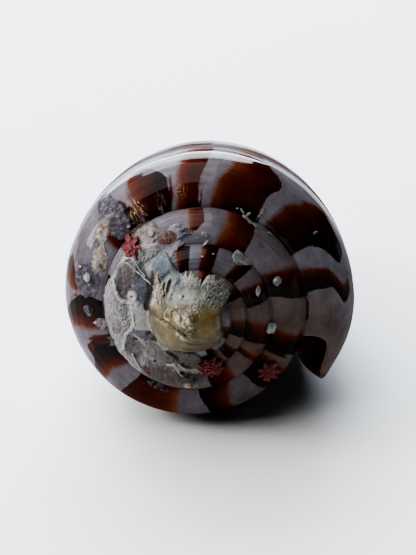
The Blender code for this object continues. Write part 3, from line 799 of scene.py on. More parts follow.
# On the plan of the spire: its inner edge as degrees and radius; ridges as half width, height and line;
# knobs as middle, half width and height; pits as middle and half width; slots as half width and line; and
# ovals of colour.
CRUST_EDGE = ((98, 5.6), (110, 5.2), (118, 4.6), (126, 4.2), (140, 3.4), (180, 3.3), (212, 3.2),
              (230, 2.7), (258, 2.1), (281, 2.3))
CRUST_RIDGES = (
    (0.2, 0.27, ((-4.75, 4.45), (-5.4, 4.8), (-6.05, 4.55), (-6.6, 4.1), (-6.95, 3.5), (-6.9, 2.9),
                 (-6.75, 2.2), (-6.55, 1.6), (-6.15, 1.15), (-5.65, 1), (-5.3, 1.1))),
    (0.16, 0.24, ((-5.35, 1), (-5.25, 0.3), (-5.2, -0.35), (-5.1, -0.7), (-5.4, -1.4), (-5.75, -1.7),
                  (-5.95, -2.3), (-6.1, -3.15), (-6.45, -3.7))),
    (0.13, 0.2, ((-6.5, -3.7), (-6.1, -4.25), (-5.45, -4.75), (-4.8, -5.25))),
    (0.1, 0.2, ((-5.3, -3.6), (-5, -4.25), (-4.7, -4.85))),
    (0.17, 0.15, ((-2.3, -4.2), (-1.65, -4.1), (-1.4, -4.85), (-1.05, -5.35))),
    (0.14, 0.15, ((-1.3, -4), (-0.75, -4.55), (0.1, -4.6), (0.6, -4.95))),
    (0.1, 0.12, ((-1.3, -4.5), (-0.9, -4.75), (-0.4, -4.9), (0.2, -5))),
    (0.09, 0.12, ((-1, -5.5), (-0.5, -5.75), (0.1, -5.5))),
)
CRUST_KNOBS = ((-0.65, -6.45, 0.3, 0.4), (-0.3, -6.4, 0.34, 0.5), (-5.72, -0.67, 0.12, 0.25),
               (-4.6, 5.6, 0.3, 0.25), (-6.6, 5, 0.35, 0.35), (-3.5, 6.3, 0.3, 0.2),
               (-1.2, -6.9, 0.2, 0.15))
CRUST_PITS = ((-5, -2.15, 0.13), (-3.75, -1.2, 0.14), (-3.35, -1.75, 0.2), (-1, -5, 0.2),
              (-0.55, -5.35, 0.2), (0, -5.6, 0.24), (-3.35, -4.08, 0.12))
# The first slot is the dark gap along the growth's left edge, painted near black as shade.
CRUST_SLOTS = ((0.26, ((-3.35, 3.9), (-3.62, 2.9), (-3.75, 1.75), (-3.95, 1))),
               (0.14, ((-2.2, -2.8), (-1.65, -3.1), (-1.25, -3.6))),
               (0.12, ((-0.95, -3.95), (-0.35, -4.3))))
CRUST_MARKS = {
    "floor": ((-5.7, 2.8, 0.85, 1.5, 0, 1), (-4.3, 2.6, 0.85, 1.5, 8, 0.9),
              (-5.1, -2.95, 0.8, 0.95, 0, 0.95), (-4.1, -1.5, 1, 0.45, 0, 0.9),
              (-6.6, -1.3, 0.4, 0.7, 0, 0.75), (-2.9, -5.4, 1.3, 0.7, -20, 0.4)),
    "smooth": ((-4.4, -0.05, 0.75, 1, 0, 1), (-3.3, -2.7, 0.8, 0.5, -40, 0.5)),
    # Painted light: the white oval lightens the crust where it dips into the suture and lies in shade.
    "white": ((-4.1, 5.3, 1.2, 0.7, 30, 0.5),),
    "blue": ((-4.3, 2.5, 0.8, 1.3, 5, 1), (-4.1, -1.5, 1.1, 0.5, 0, 0.6)),
    # The dim oval at the left is a painted shadow inside the upper scar's rim; dim also darkens the crust's
    # lower end.
    "dim": ((-3.4, -2.9, 1.2, 0.8, -40, 0.7), (-6.35, 2.7, 0.25, 1.3, 0, 0.8)),
    # Painted shade in a pit.
    "pit_shade": ((-0.35, -5.45, 0.9, 0.5, -15, 0.6),),
    "warm": ((-1.5, -4.6, 0.8, 0.5, -50, 0.8), (-0.1, -4.6, 0.9, 0.25, -10, 0.6),
             (-0.4, -6.4, 0.6, 0.4, 0, 1), (-6.7, 4.95, 0.5, 0.5, 0, 0.8), (-5.9, -4.1, 0.6, 0.4, 30, 0.6)),
    "rust": ((-4.1, -5.05, 0.3, 0.55, 30, 1), (-2.35, 6.5, 0.85, 0.55, 10, 1)),
}


def make_crust_mesh():
    """A band of the plan between two uneven edges, finely divided, with its relief and colours worked out
    there."""
    along, across = np.meshgrid(np.linspace(0, 1, 480), np.linspace(0, 1, 98))
    angle = np.radians(CRUST_FROM + CRUST_SPAN * along)
    angle += math.radians(5) * line_noise(across, 33, 7) * smooth_step(along, 0.08, 0)
    turn = ((LIP_ANGLE - angle) / (2 * np.pi)) % 1.0 - 1.0
    outer = SUTURE_RADIUS * WHORL_GROWTH ** turn - 0.13
    outer += 0.13 * lattice_noise(angle * 9, angle, 21) + 0.07 * lattice_noise(angle * 31, angle, 22)
    outer -= 1.2 * bump(angle - math.radians(118), math.radians(12))
    outer -= 0.35 * bump(angle - math.radians(150), math.radians(12))
    inner = np.interp(np.degrees(angle), *np.array(CRUST_EDGE, float).T)
    inner += 0.16 * lattice_noise(angle * 8, angle, 23) + 0.08 * lattice_noise(angle * 29, angle, 24)
    ends = np.sin(np.pi * np.clip(along, 0.002, 0.998)) ** 0.12
    middle = 0.5 * (outer + inner)
    radius = middle + (inner + (outer - inner) * across - middle) * ends
    x, y = radius * np.cos(angle), radius * np.sin(angle)
    edge = smooth_step(np.minimum(across, 1 - across), 0, 0.08)
    edge *= smooth_step(np.minimum(along, 1 - along), 0, 0.02)

    values = marks_at(x, y, CRUST_MARKS)
    clouds = 0.6 * lattice_noise(x, y, 25, 1.7) + 0.4 * lattice_noise(x, y, 26, 4.1)
    pebbles = smooth_step(cell_noise(x, y, 27, 4.2), 0.62, 0) * smooth_step(clouds, -0.6, 0.3)
    grit = smooth_step(cell_noise(x, y, 28, 9), 0.7, 0.1)
    thin = smooth_step(angle, math.radians(130), math.radians(115))
    dim = smooth_step(angle, math.radians(222), math.radians(240))
    rough = (1 - 0.6 * values["floor"]) * (1 - values["smooth"]) * (1 - 0.2 * dim)
    relief = 0.11 + 0.07 * clouds - 0.08 * values["floor"] + (0.09 * pebbles + 0.05 * grit) * rough
    relief *= 1 - 0.7 * thin
    white = 0.4 * pebbles * (1 - values["floor"])
    wander = 0.06 * lattice_noise(x, y, 29, 3)
    for half_width, height, line in CRUST_RIDGES:
        crest = rope(line_distance(x + wander, y - wander, line), half_width)
        relief = np.maximum(relief, (0.1 + height * (0.95 + 0.2 * lattice_noise(x, y, 30, 5))) * crest)
        white = np.maximum(white, crest)
    ring = bump(np.hypot(x + 5.22, y - 1.6) - 0.24, 0.22)
    relief = np.maximum(relief, 0.42 * ring)
    white = np.maximum(white, ring)
    for knob_x, knob_y, half_width, height in CRUST_KNOBS:
        crest = bump(np.hypot(x - knob_x, y - knob_y), half_width)
        relief += height * crest
        white = np.maximum(white, crest ** 2)
    pits = np.zeros(x.shape)
    for pit_x, pit_y, half_width in CRUST_PITS:
        away = np.hypot(x - pit_x, y - pit_y) + 0.12 * lattice_noise(x, y, 31, 6)
        pits = np.maximum(pits, smooth_step(away, 1.3 * half_width, 0.6 * half_width))
    for half_width, line in CRUST_SLOTS:
        away = line_distance(x, y, line) + 0.12 * lattice_noise(x, y, 32, 4)
        pits = np.maximum(pits, smooth_step(away, 1.25 * half_width, 0.6 * half_width))
    relief *= 1 - 0.9 * pits

    floor = filled_height(x, y, CRUST_FILL)
    values["thin"] = thin
    for name, found in (("white", white), ("dim", dim), ("pit_shade", pits)):
        values[name] = np.maximum(values[name], found)
    top = floor + (relief + CRUST_SUNK) * edge - CRUST_SUNK
    return skin_mesh("lime_crust", x, y, top, floor - CRUST_UNDER, False, values)


def lime():
    """Rough lime of fine granules: pale on ridges and pebbles, grey between, mauve or bluish on the floors
    of scars, and a brownish grey where it is thin. Its pits and slots are painted near black as shade, one
    oval is a painted shadow inside a scar's rim, and one oval is painted light where the crust lies in
    shade."""
    finish = Finish("lime")
    clouds = finish.noise(900, 4, 0.65)
    grains = finish.noise(4200, 3, 0.7)
    gap = finish.cells(4600)
    stripes = finish.noise((7000, 1400, 1400), 2, 0.6)
    mottles = finish.noise(520, 5, 0.7)
    specks = finish.sum((clouds, 0.45), (grains, 0.7), (gap, -0.2), 0.02)

    finish.colour = finish.tones(specks, (0.3, (0.115, 0.1, 0.1)), (0.5, (0.185, 0.175, 0.176)),
                                 (0.72, (0.31, 0.305, 0.31)))
    mauve = finish.tones(specks, (0.3, (0.055, 0.04, 0.042)), (0.52, (0.095, 0.074, 0.078)),
                         (0.75, (0.17, 0.145, 0.15)))
    finish.paint("floor", mauve, 0.9)
    blue = finish.tones(specks, (0.3, (0.014, 0.016, 0.021)), (0.52, (0.027, 0.032, 0.041)),
                        (0.75, (0.09, 0.1, 0.12)))
    finish.paint(finish.rise(finish.sum("blue", (clouds, 0.8), -0.4), 0.15, 0.85, 0, 0.9), blue)
    veil = finish.tones(specks, (0.3, (0.11, 0.095, 0.105)), (0.5, (0.17, 0.155, 0.175)),
                        (0.7, (0.28, 0.27, 0.295)))
    finish.paint("thin", veil)
    finish.paint("smooth", (0.165, 0.158, 0.147), 0.8)
    # Dim: a painted shadow inside the upper scar's rim, and a darker, browner lower end of the crust.
    finish.paint("dim", finish.tinted((0.42, 0.36, 0.3)), 0.9)
    mottle = finish.tones(specks, (0.35, (0.025, 0.018, 0.016)), (0.65, (0.14, 0.125, 0.11)))
    finish.paint(finish.product(finish.rise(mottles, 0.5, 0.62, 0, 0.75), "dim"), mottle)
    rust = finish.tones(stripes, (0.4, (0.03, 0.012, 0.01)), (0.6, (0.13, 0.045, 0.025)))
    finish.paint(finish.rise(finish.sum("rust", (grains, 1.2), (clouds, 0.8), -1), 0.3, 0.6, 0, 0.9), rust)
    chalk = finish.tones(grains, (0.35, (0.19, 0.182, 0.18)), (0.65, (0.31, 0.305, 0.31)))
    finish.paint(finish.rise(finish.sum("white", (grains, 0.5), ("dim", -0.25), -0.25), 0.15, 0.6, 0, 0.9),
                 chalk)
    finish.paint("warm", finish.tones(specks, (0.3, (0.1, 0.078, 0.05)), (0.7, (0.3, 0.26, 0.19))), 0.75)
    # Painted shade: pits, slots and the gap along the growth are painted near black.
    finish.paint("pit_shade", (0.025, 0.018, 0.016))
    finish.set(Base_Color=finish.colour, Roughness=finish.sum((grains, 0.3), 0.5), Specular_IOR_Level=0.3)
    finish.relief((clouds, 0.06, 0.4), (finish.sum(grains, (gap, -0.4)), 0.06, 0.6))
    return finish.material


add_piece(make_crust_mesh(), lime(), "lime", "lime_crust")

# ---------------------------------------------------------------------------------------- the apex growth
# A colony that has grown over the first whorls: a waxy, translucent olive-yellow cushion below, creased and
# lumpy in the middle, and a rough grey granular sheet above that ends in a white horn and a deep notch.

# The growth's middle; then how widely it fills the grooves, how far its edge is sunk in, how wide its
# rounded rim is, and how far its underside lies below the spire.
GROWTH_MIDDLE = (-0.2, 0.85)
GROWTH_FILL = 0.3
GROWTH_SUNK = 0.05
GROWTH_RIM = 0.45
GROWTH_UNDER = 0.08

# The growth on the plan of the spire: its outline as degrees and reach from its middle; ridges as half
# width, rise, how chalky and line; knobs as middle, half width and rise; creases as half width, depth and
# line.
GROWTH_OUTLINE = (
    (8, 2.35), (12, 2.6), (17, 3.1), (24, 3.5), (34, 3.7), (41, 3.6), (48, 3.5), (56, 3.45), (62, 3.3),
    (66, 3), (70, 2.6), (76, 2.8), (83, 3), (91, 3.1), (107, 3.1), (111, 3.3), (113.5, 4.2), (115, 5.1),
    (118, 5.25), (122, 5.1), (129, 4.9), (135, 4.7), (139, 4.15), (144, 3.65), (153, 3.45), (170, 3.45),
    (183, 3.6), (195, 3.7), (210, 3.75), (225, 3.9), (241, 3.7), (254, 3.4), (266, 3.3), (280, 3.25),
    (292, 3.3), (304, 3.45), (315, 3.5), (322, 3.35), (334, 2.85), (349, 2.55),
)
GROWTH_RIDGES = (
    (0.13, 0.16, 0.9, ((-3.05, 3.7), (-3, 2.95), (-3.25, 2.2), (-3.5, 1.4))),
    (0.13, 0.2, 0, ((-1.3, 3.6), (-1.75, 3.05), (-1.95, 2.2))),
    (0.2, 0.2, 0, ((-3.4, 4.1), (-2.9, 4.8), (-2.5, 5.2))),
    (0.1, 0.07, 0.4, ((-3.1, 0.45), (-2.55, 0.15), (-1.9, -0.2), (-1.4, -0.25), (-0.85, -0.7))),
    (0.08, 0.08, 0.8, ((-2.45, 1), (-2.25, 0.65), (-2, 0.55))),
    (0.1, 0.05, 0.3, ((-0.2, -0.6), (0.3, -0.8), (0.8, -0.9), (1.2, -1.05))),
)
GROWTH_KNOBS = (
    (-1.25, 0.72, 0.32, 0.2), (-1, 0.4, 0.24, 0.14), (-0.33, 0.7, 0.34, 0.3), (-0.7, 0.95, 0.2, 0.14),
    (-0.57, 1.2, 0.18, 0.08), (-0.76, 0.25, 0.2, 0.13), (-0.2, 0.2, 0.2, 0.13), (-1.15, 1.05, 0.15, 0.08),
    (-1.25, -0.42, 0.22, 0.1), (-0.92, -0.75, 0.26, 0.12), (-0.66, -0.92, 0.2, 0.1),
    (-0.2, -0.35, 0.14, 0.06), (0.22, -0.2, 0.12, 0.05), (-1.38, 1.7, 0.12, 0.1), (-1.02, 2.38, 0.14, 0.14),
)
GROWTH_CREASES = (
    (0.06, 0.14, ((-3.5, 0.75), (-3.05, 0.6), (-2.45, 0.5), (-2.05, 0.25), (-1.6, 0.05), (-1.2, -0.12),
                  (-0.75, -0.4), (-0.6, -0.65))),
    (0.06, 0.05, ((-0.6, -1.2), (0.2, -1.4), (1, -1.25))),
    (0.05, 0.06, ((-1.75, 0.8), (-1.75, 1.2), (-1.5, 1.4), (-1.25, 1.3))),
)
GROWTH_MARKS = {
    "grain": ((-2.85, 2.7, 0.55, 1.5, 8, 0.9), (2.3, 2.6, 1.3, 1.3, 0, 1), (0.35, 1.45, 0.8, 0.9, 0, 0.5),
              (0.2, 3.6, 1.3, 0.5, 0, 0.6)),
    "lumpy": ((-0.75, 0.55, 0.9, 0.95, 0, 1), (-0.6, -0.7, 0.9, 0.5, -15, 0.8)),
    # The crease ovals are holes in the pillar, darkened as painted shade.
    "brown_crease_and_shade": ((-2.05, 3, 0.13, 0.5, -15, 1), (-2.45, 2.95, 0.09, 0.3, -10, 0.7),
               (-2.4, 2.35, 0.08, 0.25, 0, 0.6)),
    "pillar": ((-2.9, 2.5, 0.5, 1.5, 12, 1),),
    "horn": ((-2.75, 4.6, 1.3, 1.1, 60, 1), (-1.6, 3.4, 0.9, 0.6, -40, 0.6)),
    "gold": ((1.15, 0.45, 0.95, 1.25, 0, 1), (1.3, 1.7, 0.2, 0.5, 0, 1)),
    # Brown stains; the last oval is a painted shadow beside a knob.
    "stain_and_knob_shadow": ((2.15, -0.5, 0.3, 0.35, 0, 0.9), (-0.25, -2, 0.7, 0.25, 0, 0.7),
              (1.5, -1.6, 0.5, 0.2, 30, 0.5), (-3.5, 0.75, 0.45, 0.25, -20, 0.9),
              (-0.85, 2.45, 0.12, 0.12, 0, 0.8)),
}


def make_growth_mesh():
    """A disc in rings out to an uneven outline, domed, with creases, knobs and rough patches in its upper
    part."""
    around = np.linspace(0, 2 * np.pi, 420, endpoint=False)
    reach = np.interp(np.degrees(around), *np.array(GROWTH_OUTLINE).T, period=360)
    frayed = 0.12 * line_noise(around, 41, 14) + 0.13 * line_noise(around, 42, 55)
    frayed *= smooth_step(np.sin(around - math.radians(8)), 0.05, 0.45)
    out, around = np.meshgrid(np.linspace(0, 1, 80) ** 0.8, around, indexing="ij")
    radius = reach * out + frayed * out ** 12
    x = GROWTH_MIDDLE[0] + radius * np.cos(around)
    y = GROWTH_MIDDLE[1] + radius * np.sin(around)
    floor = filled_height(x, y, GROWTH_FILL)

    values = marks_at(x, y, GROWTH_MARKS)
    grain = values["grain"]
    upper = smooth_step(y + 0.5 * smooth_step(x, -2.3, -3) + 0.3 * lattice_noise(x, y, 43, 2), 0.9, 2.9)
    dome = 0.1 - 0.165 * (x * x + y * y)
    lobe = smooth_step(x, 0.4, 1.6) * upper
    sheet = floor + 0.42 - 0.2 * lobe + 0.12 * lattice_noise(x, y, 44, 1.6)
    height = dome * (1 - upper) + np.minimum(dome, 0.35 * dome + 0.65 * sheet) * upper
    height = np.maximum(height, floor + 0.3 - 0.1 * lobe)
    pebbles = smooth_step(cell_noise(x, y, 45, 4.8), 0.75, 0)
    grit = smooth_step(cell_noise(x, y, 46, 9), 0.7, 0.1)
    height += grain * (0.12 * pebbles + 0.07 * grit) + upper * 0.08 * lattice_noise(x, y, 51, 2.2)
    height += 0.07 * values["lumpy"] * smooth_step(cell_noise(x, y, 52, 3.1), 0.8, 0.1)

    white = 0.35 * grain * upper * pebbles
    for half_width, rise, shine, line in GROWTH_RIDGES:
        crest = bump(line_distance(x + 0.08 * lattice_noise(x, y, 47, 3), y, line), half_width)
        height += rise * crest * (0.8 + 0.4 * lattice_noise(x, y, 48, 4))
        white = np.maximum(white, shine * crest)
    for knob_x, knob_y, half_width, rise in GROWTH_KNOBS:
        crest = bump(np.hypot(x - knob_x, y - knob_y) + 0.06 * lattice_noise(x, y, 49, 6), half_width)
        height += rise * crest
        white = np.maximum(white, crest * min(1, 8 * rise))
    height -= 0.3 * values["brown_crease_and_shade"]
    for half_width, depth, line in GROWTH_CREASES:
        cut = bump(line_distance(x, y + 0.1 * lattice_noise(x, y, 50, 3), line), half_width)
        height -= depth * cut
        values["brown_crease_and_shade"] = np.maximum(values["brown_crease_and_shade"], cut)
    edge = np.clip((1 - out) * reach / GROWTH_RIM, 0, 1)
    top = floor - GROWTH_SUNK + (height - floor + GROWTH_SUNK) * np.sqrt(edge * (2 - edge))
    values.update({"upper": upper, "white": white, "shade": smooth_step(x - 0.4 * y, -1.6, 1.4)})
    return skin_mesh("apex_growth", x, y, top, floor - GROWTH_UNDER, True, values)


def olive_wax():
    """Waxy olive-yellow colony, lit from within a little, with chalky lumps, brown creases and holes
    deepened by painted shade, brown stains and a painted shadow beside a knob, and a grey granular part
    that turns bluish at the horn and darker to the right."""
    finish = Finish("olive_wax")
    clouds = finish.noise(700, 4, 0.6)
    grains = finish.noise(4500, 3, 0.7)
    gap = finish.cells(5200)
    specks = finish.sum((clouds, 0.5), (grains, 0.5), (gap, -0.15), 0.03)

    finish.colour = finish.tones(specks, (0.3, (0.13, 0.127, 0.108)), (0.5, (0.22, 0.217, 0.195)),
                                 (0.7, (0.36, 0.36, 0.34)))
    granular = finish.tones(grains, (0.38, (0.07, 0.07, 0.055)), (0.5, (0.19, 0.19, 0.17)),
                            (0.62, (0.42, 0.42, 0.4)))
    finish.paint("grain", granular, 0.7)
    finish.paint("shade", finish.tinted((0.5, 0.5, 0.46)), 0.8)
    bluish = finish.tones(specks, (0.3, (0.05, 0.062, 0.08)), (0.5, (0.1, 0.118, 0.145)),
                          (0.72, (0.27, 0.29, 0.325)))
    finish.paint("horn", bluish, 0.95)
    speckled = finish.tones(grains, (0.38, (0.07, 0.045, 0.03)), (0.5, (0.17, 0.145, 0.115)),
                            (0.62, (0.3, 0.28, 0.24)))
    finish.paint("pillar", speckled, 0.9)
    grey = finish.colour

    wax = finish.sum((clouds, 0.9), (grains, 0.25), -0.08)
    finish.colour = finish.tones(wax, (0.34, (0.05, 0.036, 0.015)), (0.5, (0.098, 0.075, 0.034)),
                                 (0.66, (0.16, 0.13, 0.068)))
    finish.paint("gold", finish.tones(clouds, (0.35, (0.1, 0.06, 0.018)), (0.65, (0.19, 0.135, 0.05))),
                 0.85)
    finish.paint("lumpy", finish.tones(grains, (0.35, (0.09, 0.055, 0.025)), (0.65, (0.24, 0.195, 0.13))),
                 0.7)
    finish.paint(finish.rise(finish.sum("upper", (grains, 0.3), (clouds, 0.6), -0.45), 0.1, 0.9), grey)
    finish.paint(finish.rise(finish.sum("white", (grains, 0.7), -0.35), 0.25, 0.85, 0, 0.85),
                 (0.33, 0.295, 0.22))
    # Brown stains, and a painted shadow beside a knob.
    finish.paint(finish.rise(finish.sum("stain_and_knob_shadow", (clouds, 0.4), -0.2), 0.3, 0.8, 0, 0.85),
                 (0.05, 0.025, 0.015))
    # Brown in the creases and the pillar's holes, deepened as painted shade.
    finish.paint("brown_crease_and_shade", (0.07, 0.035, 0.014), 0.85)
    finish.set(Base_Color=finish.colour, Roughness=finish.sum((grains, 0.3), ("upper", 0.3), 0.2))
    finish.set(Subsurface_Weight=0.15, Subsurface_Radius=(1, 0.7, 0.25), Subsurface_Scale=0.0004)
    finish.set(Specular_IOR_Level=0.35)
    beaded = finish.product(finish.sum(grains, (gap, -0.4)), "grain")
    finish.relief((clouds, 0.12, 0.5), (grains, 0.06, 0.5), (beaded, 0.07, 0.8))
    return finish.material


add_piece(make_growth_mesh(), olive_wax(), "olive_growth", "apex_growth")

# --------------------------------------------------------------------------------------- the worm tube
# A thread-like tube of lime that a worm has laid across the crust in a long V, its two legs meeting at a
# point.
def ringed_mesh(name, stacks):
    """One mesh of several stacks of rings of points, each stack closed at both ends."""
    faces, caps, used = [], [], 0
    for rings in stacks:
        number = used + np.arange(rings[..., 0].size).reshape(rings.shape[:2])
        around = np.roll(number, -1, axis=1)
        faces.append(np.stack([number[:-1], around[:-1], around[1:], number[1:]], axis=-1).reshape(-1, 4))
        caps += [number[0], number[-1]]
        used += number.size
    points = np.concatenate([rings.reshape(-1, 3) for rings in stacks])
    return make_mesh(name, points, np.concatenate(faces), caps)


# Each leg's radius and line, and how high both lie over the filled spire.
TUBE_LEGS = ((0.055, ((-5.3, 5.25), (-5, 4.5), (-4.5, 3.75), (-4.15, 3.45))),
             (0.06, ((-5.85, 4.4), (-5.3, 4.1), (-4.75, 3.65), (-4.2, 3.3), (-3.55, 2.95))))
TUBE_LIFT = 0.36


def tube_rings(radius, line):
    """Circles of points along a line that lies on the crust, a little uneven and thinner at its start."""
    knots = np.array(line)
    share = np.linspace(0, len(knots) - 1, 70)
    x = np.interp(share, np.arange(len(knots)), knots[:, 0]) + 0.05 * line_noise(share, 61, 2)
    y = np.interp(share, np.arange(len(knots)), knots[:, 1]) + 0.05 * line_noise(share, 62, 2)
    z = filled_height(x, y, 0.5) + TUBE_LIFT + 0.3 * radius
    across = np.stack([-np.gradient(y), np.gradient(x), np.zeros(len(x))], axis=-1)
    across /= np.linalg.norm(across, axis=1, keepdims=True)
    thick = radius * (1 + 0.15 * line_noise(share, 63, 6)) * np.minimum(1, (share + 0.15) * 2)
    angle = np.linspace(0, 2 * np.pi, 17)[:-1, None]
    circle = across[:, None] * np.cos(angle) + np.array([0, 0, 1]) * np.sin(angle)
    return np.stack([x, y, z], axis=-1)[:, None] + thick[:, None, None] * circle


def chalk():
    """Plain chalky white of worm tubes, a little uneven."""
    finish = Finish("chalk")
    clouds = finish.noise(2500, 3, 0.6)
    colour = finish.tones(clouds, (0.35, (0.18, 0.165, 0.15)), (0.65, (0.31, 0.295, 0.28)))
    finish.set(Base_Color=colour, Roughness=0.6)
    finish.relief((clouds, 0.05, 0.5))
    return finish.material


add_piece(ringed_mesh("worm_tube", [tube_rings(*leg) for leg in TUBE_LEGS]), chalk(), "lime")

# --------------------------------------------------------------------------------------- the red growths
# Three small encrusting colonies, coral red, each a cushion of fine lobes cemented over a suture.
# Each has a name, a middle, a half width, a height, its number of lobes, how deep they are, and a seed.
RED_GROWTHS = (
    ("red_growth_upper", -5.35, 5.55, 0.86, 0.55, 6, 0.3, 71),
    ("red_growth_lower", 1.4, -4.35, 1.08, 0.62, 9, 0.12, 74),
    ("red_growth_edge", 6.25, -5.6, 0.98, 0.45, 7, 0.22, 77),
)


def make_red_mesh(name, middle_x, middle_y, half_width, height, lobes, depth, seed):
    """A disc in rings out to a lobed outline, domed over the plane that best fits the shell under it, with
    rounded lobes raised over the cells of a scatter of points."""
    around = np.linspace(0, 2 * np.pi, 220, endpoint=False)
    reach = 1 + depth * np.cos(lobes * around + 2.0 * line_noise(around, seed, 1.5))
    reach = half_width * (reach + 0.1 * line_noise(around, seed + 1, 12)) / (1 + 0.5 * depth)
    out, around = np.meshgrid(np.linspace(0, 1, 60) ** 0.8, around, indexing="ij")
    x = middle_x + reach * out * np.cos(around)
    y = middle_y + reach * out * np.sin(around)
    floor = filled_height(x, y, 0.2)
    footprint = np.stack([x.ravel(), y.ravel(), np.ones(x.size)], axis=1)
    slope = np.linalg.lstsq(footprint, floor.ravel(), rcond=None)[0]
    plane = slope[0] * x + slope[1] * y + slope[2]
    swirl_x = x + 0.12 * lattice_noise(x, y, seed + 2, 4)
    swirl_y = y + 0.12 * lattice_noise(x * 4 + 9, y * 4, seed + 2)
    knobs = smooth_step(cell_noise(swirl_x, swirl_y, seed, 3.8), 0.75, 0.05)
    fine = smooth_step(cell_noise(swirl_x, swirl_y, seed + 1, 9), 0.75, 0.1)
    dome = np.sqrt(np.clip(1 - out ** 2, 0, 1)) ** 0.8
    top = np.maximum(plane, floor) + height * dome * (0.7 + 0.34 * knobs + 0.12 * fine)
    top = np.where(out > 0.999, floor - 0.05, np.maximum(top, floor - 0.03 + 0.2 * (1 - out)))
    # Pinkish towards the lobes' tips; the low end, near black in the gaps between lobes, is painted shade.
    values = {"tip": np.clip(0.3 + 0.4 * knobs * (0.4 + 0.6 * dome) + 0.3 * fine, 0, 1)}
    return skin_mesh(name, x, y, top, floor - 0.1, True, values)


def coral_red():
    """Matt red, pinkish on the lobes' tips, and darkening to near black between the lobes as painted shade.
    """
    finish = Finish("coral_red")
    clouds = finish.noise(2400, 3, 0.6)
    tip = finish.sum("tip", (clouds, 0.6), -0.3)
    colour = finish.tones(tip, (0.1, (0.03, 0.002, 0.003)), (0.4, (0.075, 0.004, 0.007)),
                          (0.65, (0.13, 0.01, 0.013)), (0.95, (0.22, 0.028, 0.034)))
    finish.set(Base_Color=colour, Roughness=0.6, Subsurface_Weight=0.1, Subsurface_Radius=(1, 0.3, 0.3),
               Subsurface_Scale=0.0003)
    finish.relief((clouds, 0.05, 0.5))
    return finish.material


red_finish = coral_red()
for growth_row in RED_GROWTHS:
    add_piece(make_red_mesh(*growth_row), red_finish, "red_growth", growth_row[0])

# ------------------------------------------------------------------------------------------ the sand grains
# Worn, pale, half-translucent grains of shell sand that have stuck to the whorls: five larger ones, and
# small splinters that lie in the sutures and on the crust.
def grain_rings(seed, rings, x, y, half_long, half_wide, lean, lift=0):
    """Points of an uneven ellipsoid that sits on the spire, in rings from its lower to its upper end."""
    angles = np.arange(2 * rings) * np.pi / rings
    rise, around = np.meshgrid(np.linspace(-1, 1, rings)[1:-1], angles, indexing="ij")
    c = np.sin(rise * np.pi / 2)
    a, b = np.sqrt(1 - c * c) * np.cos(around), np.sqrt(1 - c * c) * np.sin(around)
    ruffle = 0.2 * lattice_noise(a * 1.6 + 5, b * 1.6 + c * 1.3, seed)
    ruffle = ruffle + 0.14 * lattice_noise(b * 3 + 9, c * 3 + a, seed)
    corner = (np.abs(a) ** 3 + np.abs(b) ** 3 + np.abs(c) ** 3) ** (-1 / 3)
    scale = (1 + ruffle) * (0.5 + 0.5 * corner)
    long_grain = float(smooth_step(half_long, 0.5, 0.7))
    high = (0.62 - 0.35 * long_grain) * min(half_long, half_wide)
    local_x, local_y = a * scale * half_long, b * scale * half_wide * (1 - 0.55 * a * long_grain)
    cos_lean, sin_lean = math.cos(math.radians(lean)), math.sin(math.radians(lean))
    off_x, off_y = local_x * cos_lean - local_y * sin_lean, local_x * sin_lean + local_y * cos_lean
    slope_x = (spire_height(x + 0.3, y) - spire_height(x - 0.3, y)) / 0.6
    slope_y = (spire_height(x, y + 0.3) - spire_height(x, y - 0.3)) / 0.6
    base = float(filled_height(np.array(x), np.array(y), 0.2)) + 0.5 * high + lift
    z = base + c * scale * high + slope_x * off_x + slope_y * off_y
    return np.stack([x + off_x, y + off_y, z], axis=-1)


def quartz():
    """Pale worn grain: milky, slightly see-through at its skin, glossy where it is wet or polished."""
    finish = Finish("quartz")
    clouds = finish.noise(2200, 4, 0.65)
    colour = finish.tones(clouds, (0.3, (0.05, 0.042, 0.038)), (0.5, (0.16, 0.155, 0.15)),
                          (0.7, (0.34, 0.34, 0.34)))
    finish.set(Base_Color=colour, Roughness=finish.rise(clouds, 0.3, 0.7, 0.6, 0.25),
               Subsurface_Weight=0.25, Subsurface_Radius=(1, 1, 1), Subsurface_Scale=0.0003)
    finish.relief((clouds, 0.1, 0.7))
    return finish.material


# The larger grains and the splinters: middle, half length and half width, and lean in degrees.
GRAINS = ((4, 4.75, 0.82, 0.42, -38), (6.95, 2.65, 0.36, 0.34, 0), (5.35, 2.12, 0.2, 0.38, 0),
          (6.5, -1.45, 0.44, 0.46, 20), (-9.25, 2.5, 0.32, 0.36, 0))
SPLINTERS = (
    (4.5, 8, 0.2, 0.14, 30), (4, 8.25, 0.3, 0.12, -60), (4.3, 7.75, 0.3, 0.14, -40),
    (4.65, 7.45, 0.22, 0.12, -35), (5.1, 7.15, 0.26, 0.1, -40), (5.65, 8.2, 0.24, 0.16, 70),
    (5.45, 7.85, 0.13, 0.1, 0), (6.3, 6.4, 0.2, 0.1, -30), (3.6, 8.5, 0.12, 0.1, 0),
    (10.2, 6.1, 0.17, 0.12, 20), (0.9, 6.75, 0.3, 0.22, -30), (0.95, 6.1, 0.36, 0.12, 40),
    (0.3, 6.55, 0.15, 0.12, 0), (-1.2, 6.9, 0.16, 0.14, 0), (0.65, 5.2, 0.1, 0.08, 0),
    (1.6, 5.35, 0.1, 0.08, 0), (-3.6, 6.7, 0.2, 0.14, 50), (-5.6, 7, 0.16, 0.12, 20),
    (-7.9, 4.4, 0.17, 0.13, 0), (-8.3, 3.6, 0.2, 0.15, 60), (-9.9, 3.3, 0.14, 0.12, 0),
    (-8.6, -1.4, 0.17, 0.13, 20), (-7.95, -1.9, 0.13, 0.1, 0),
)

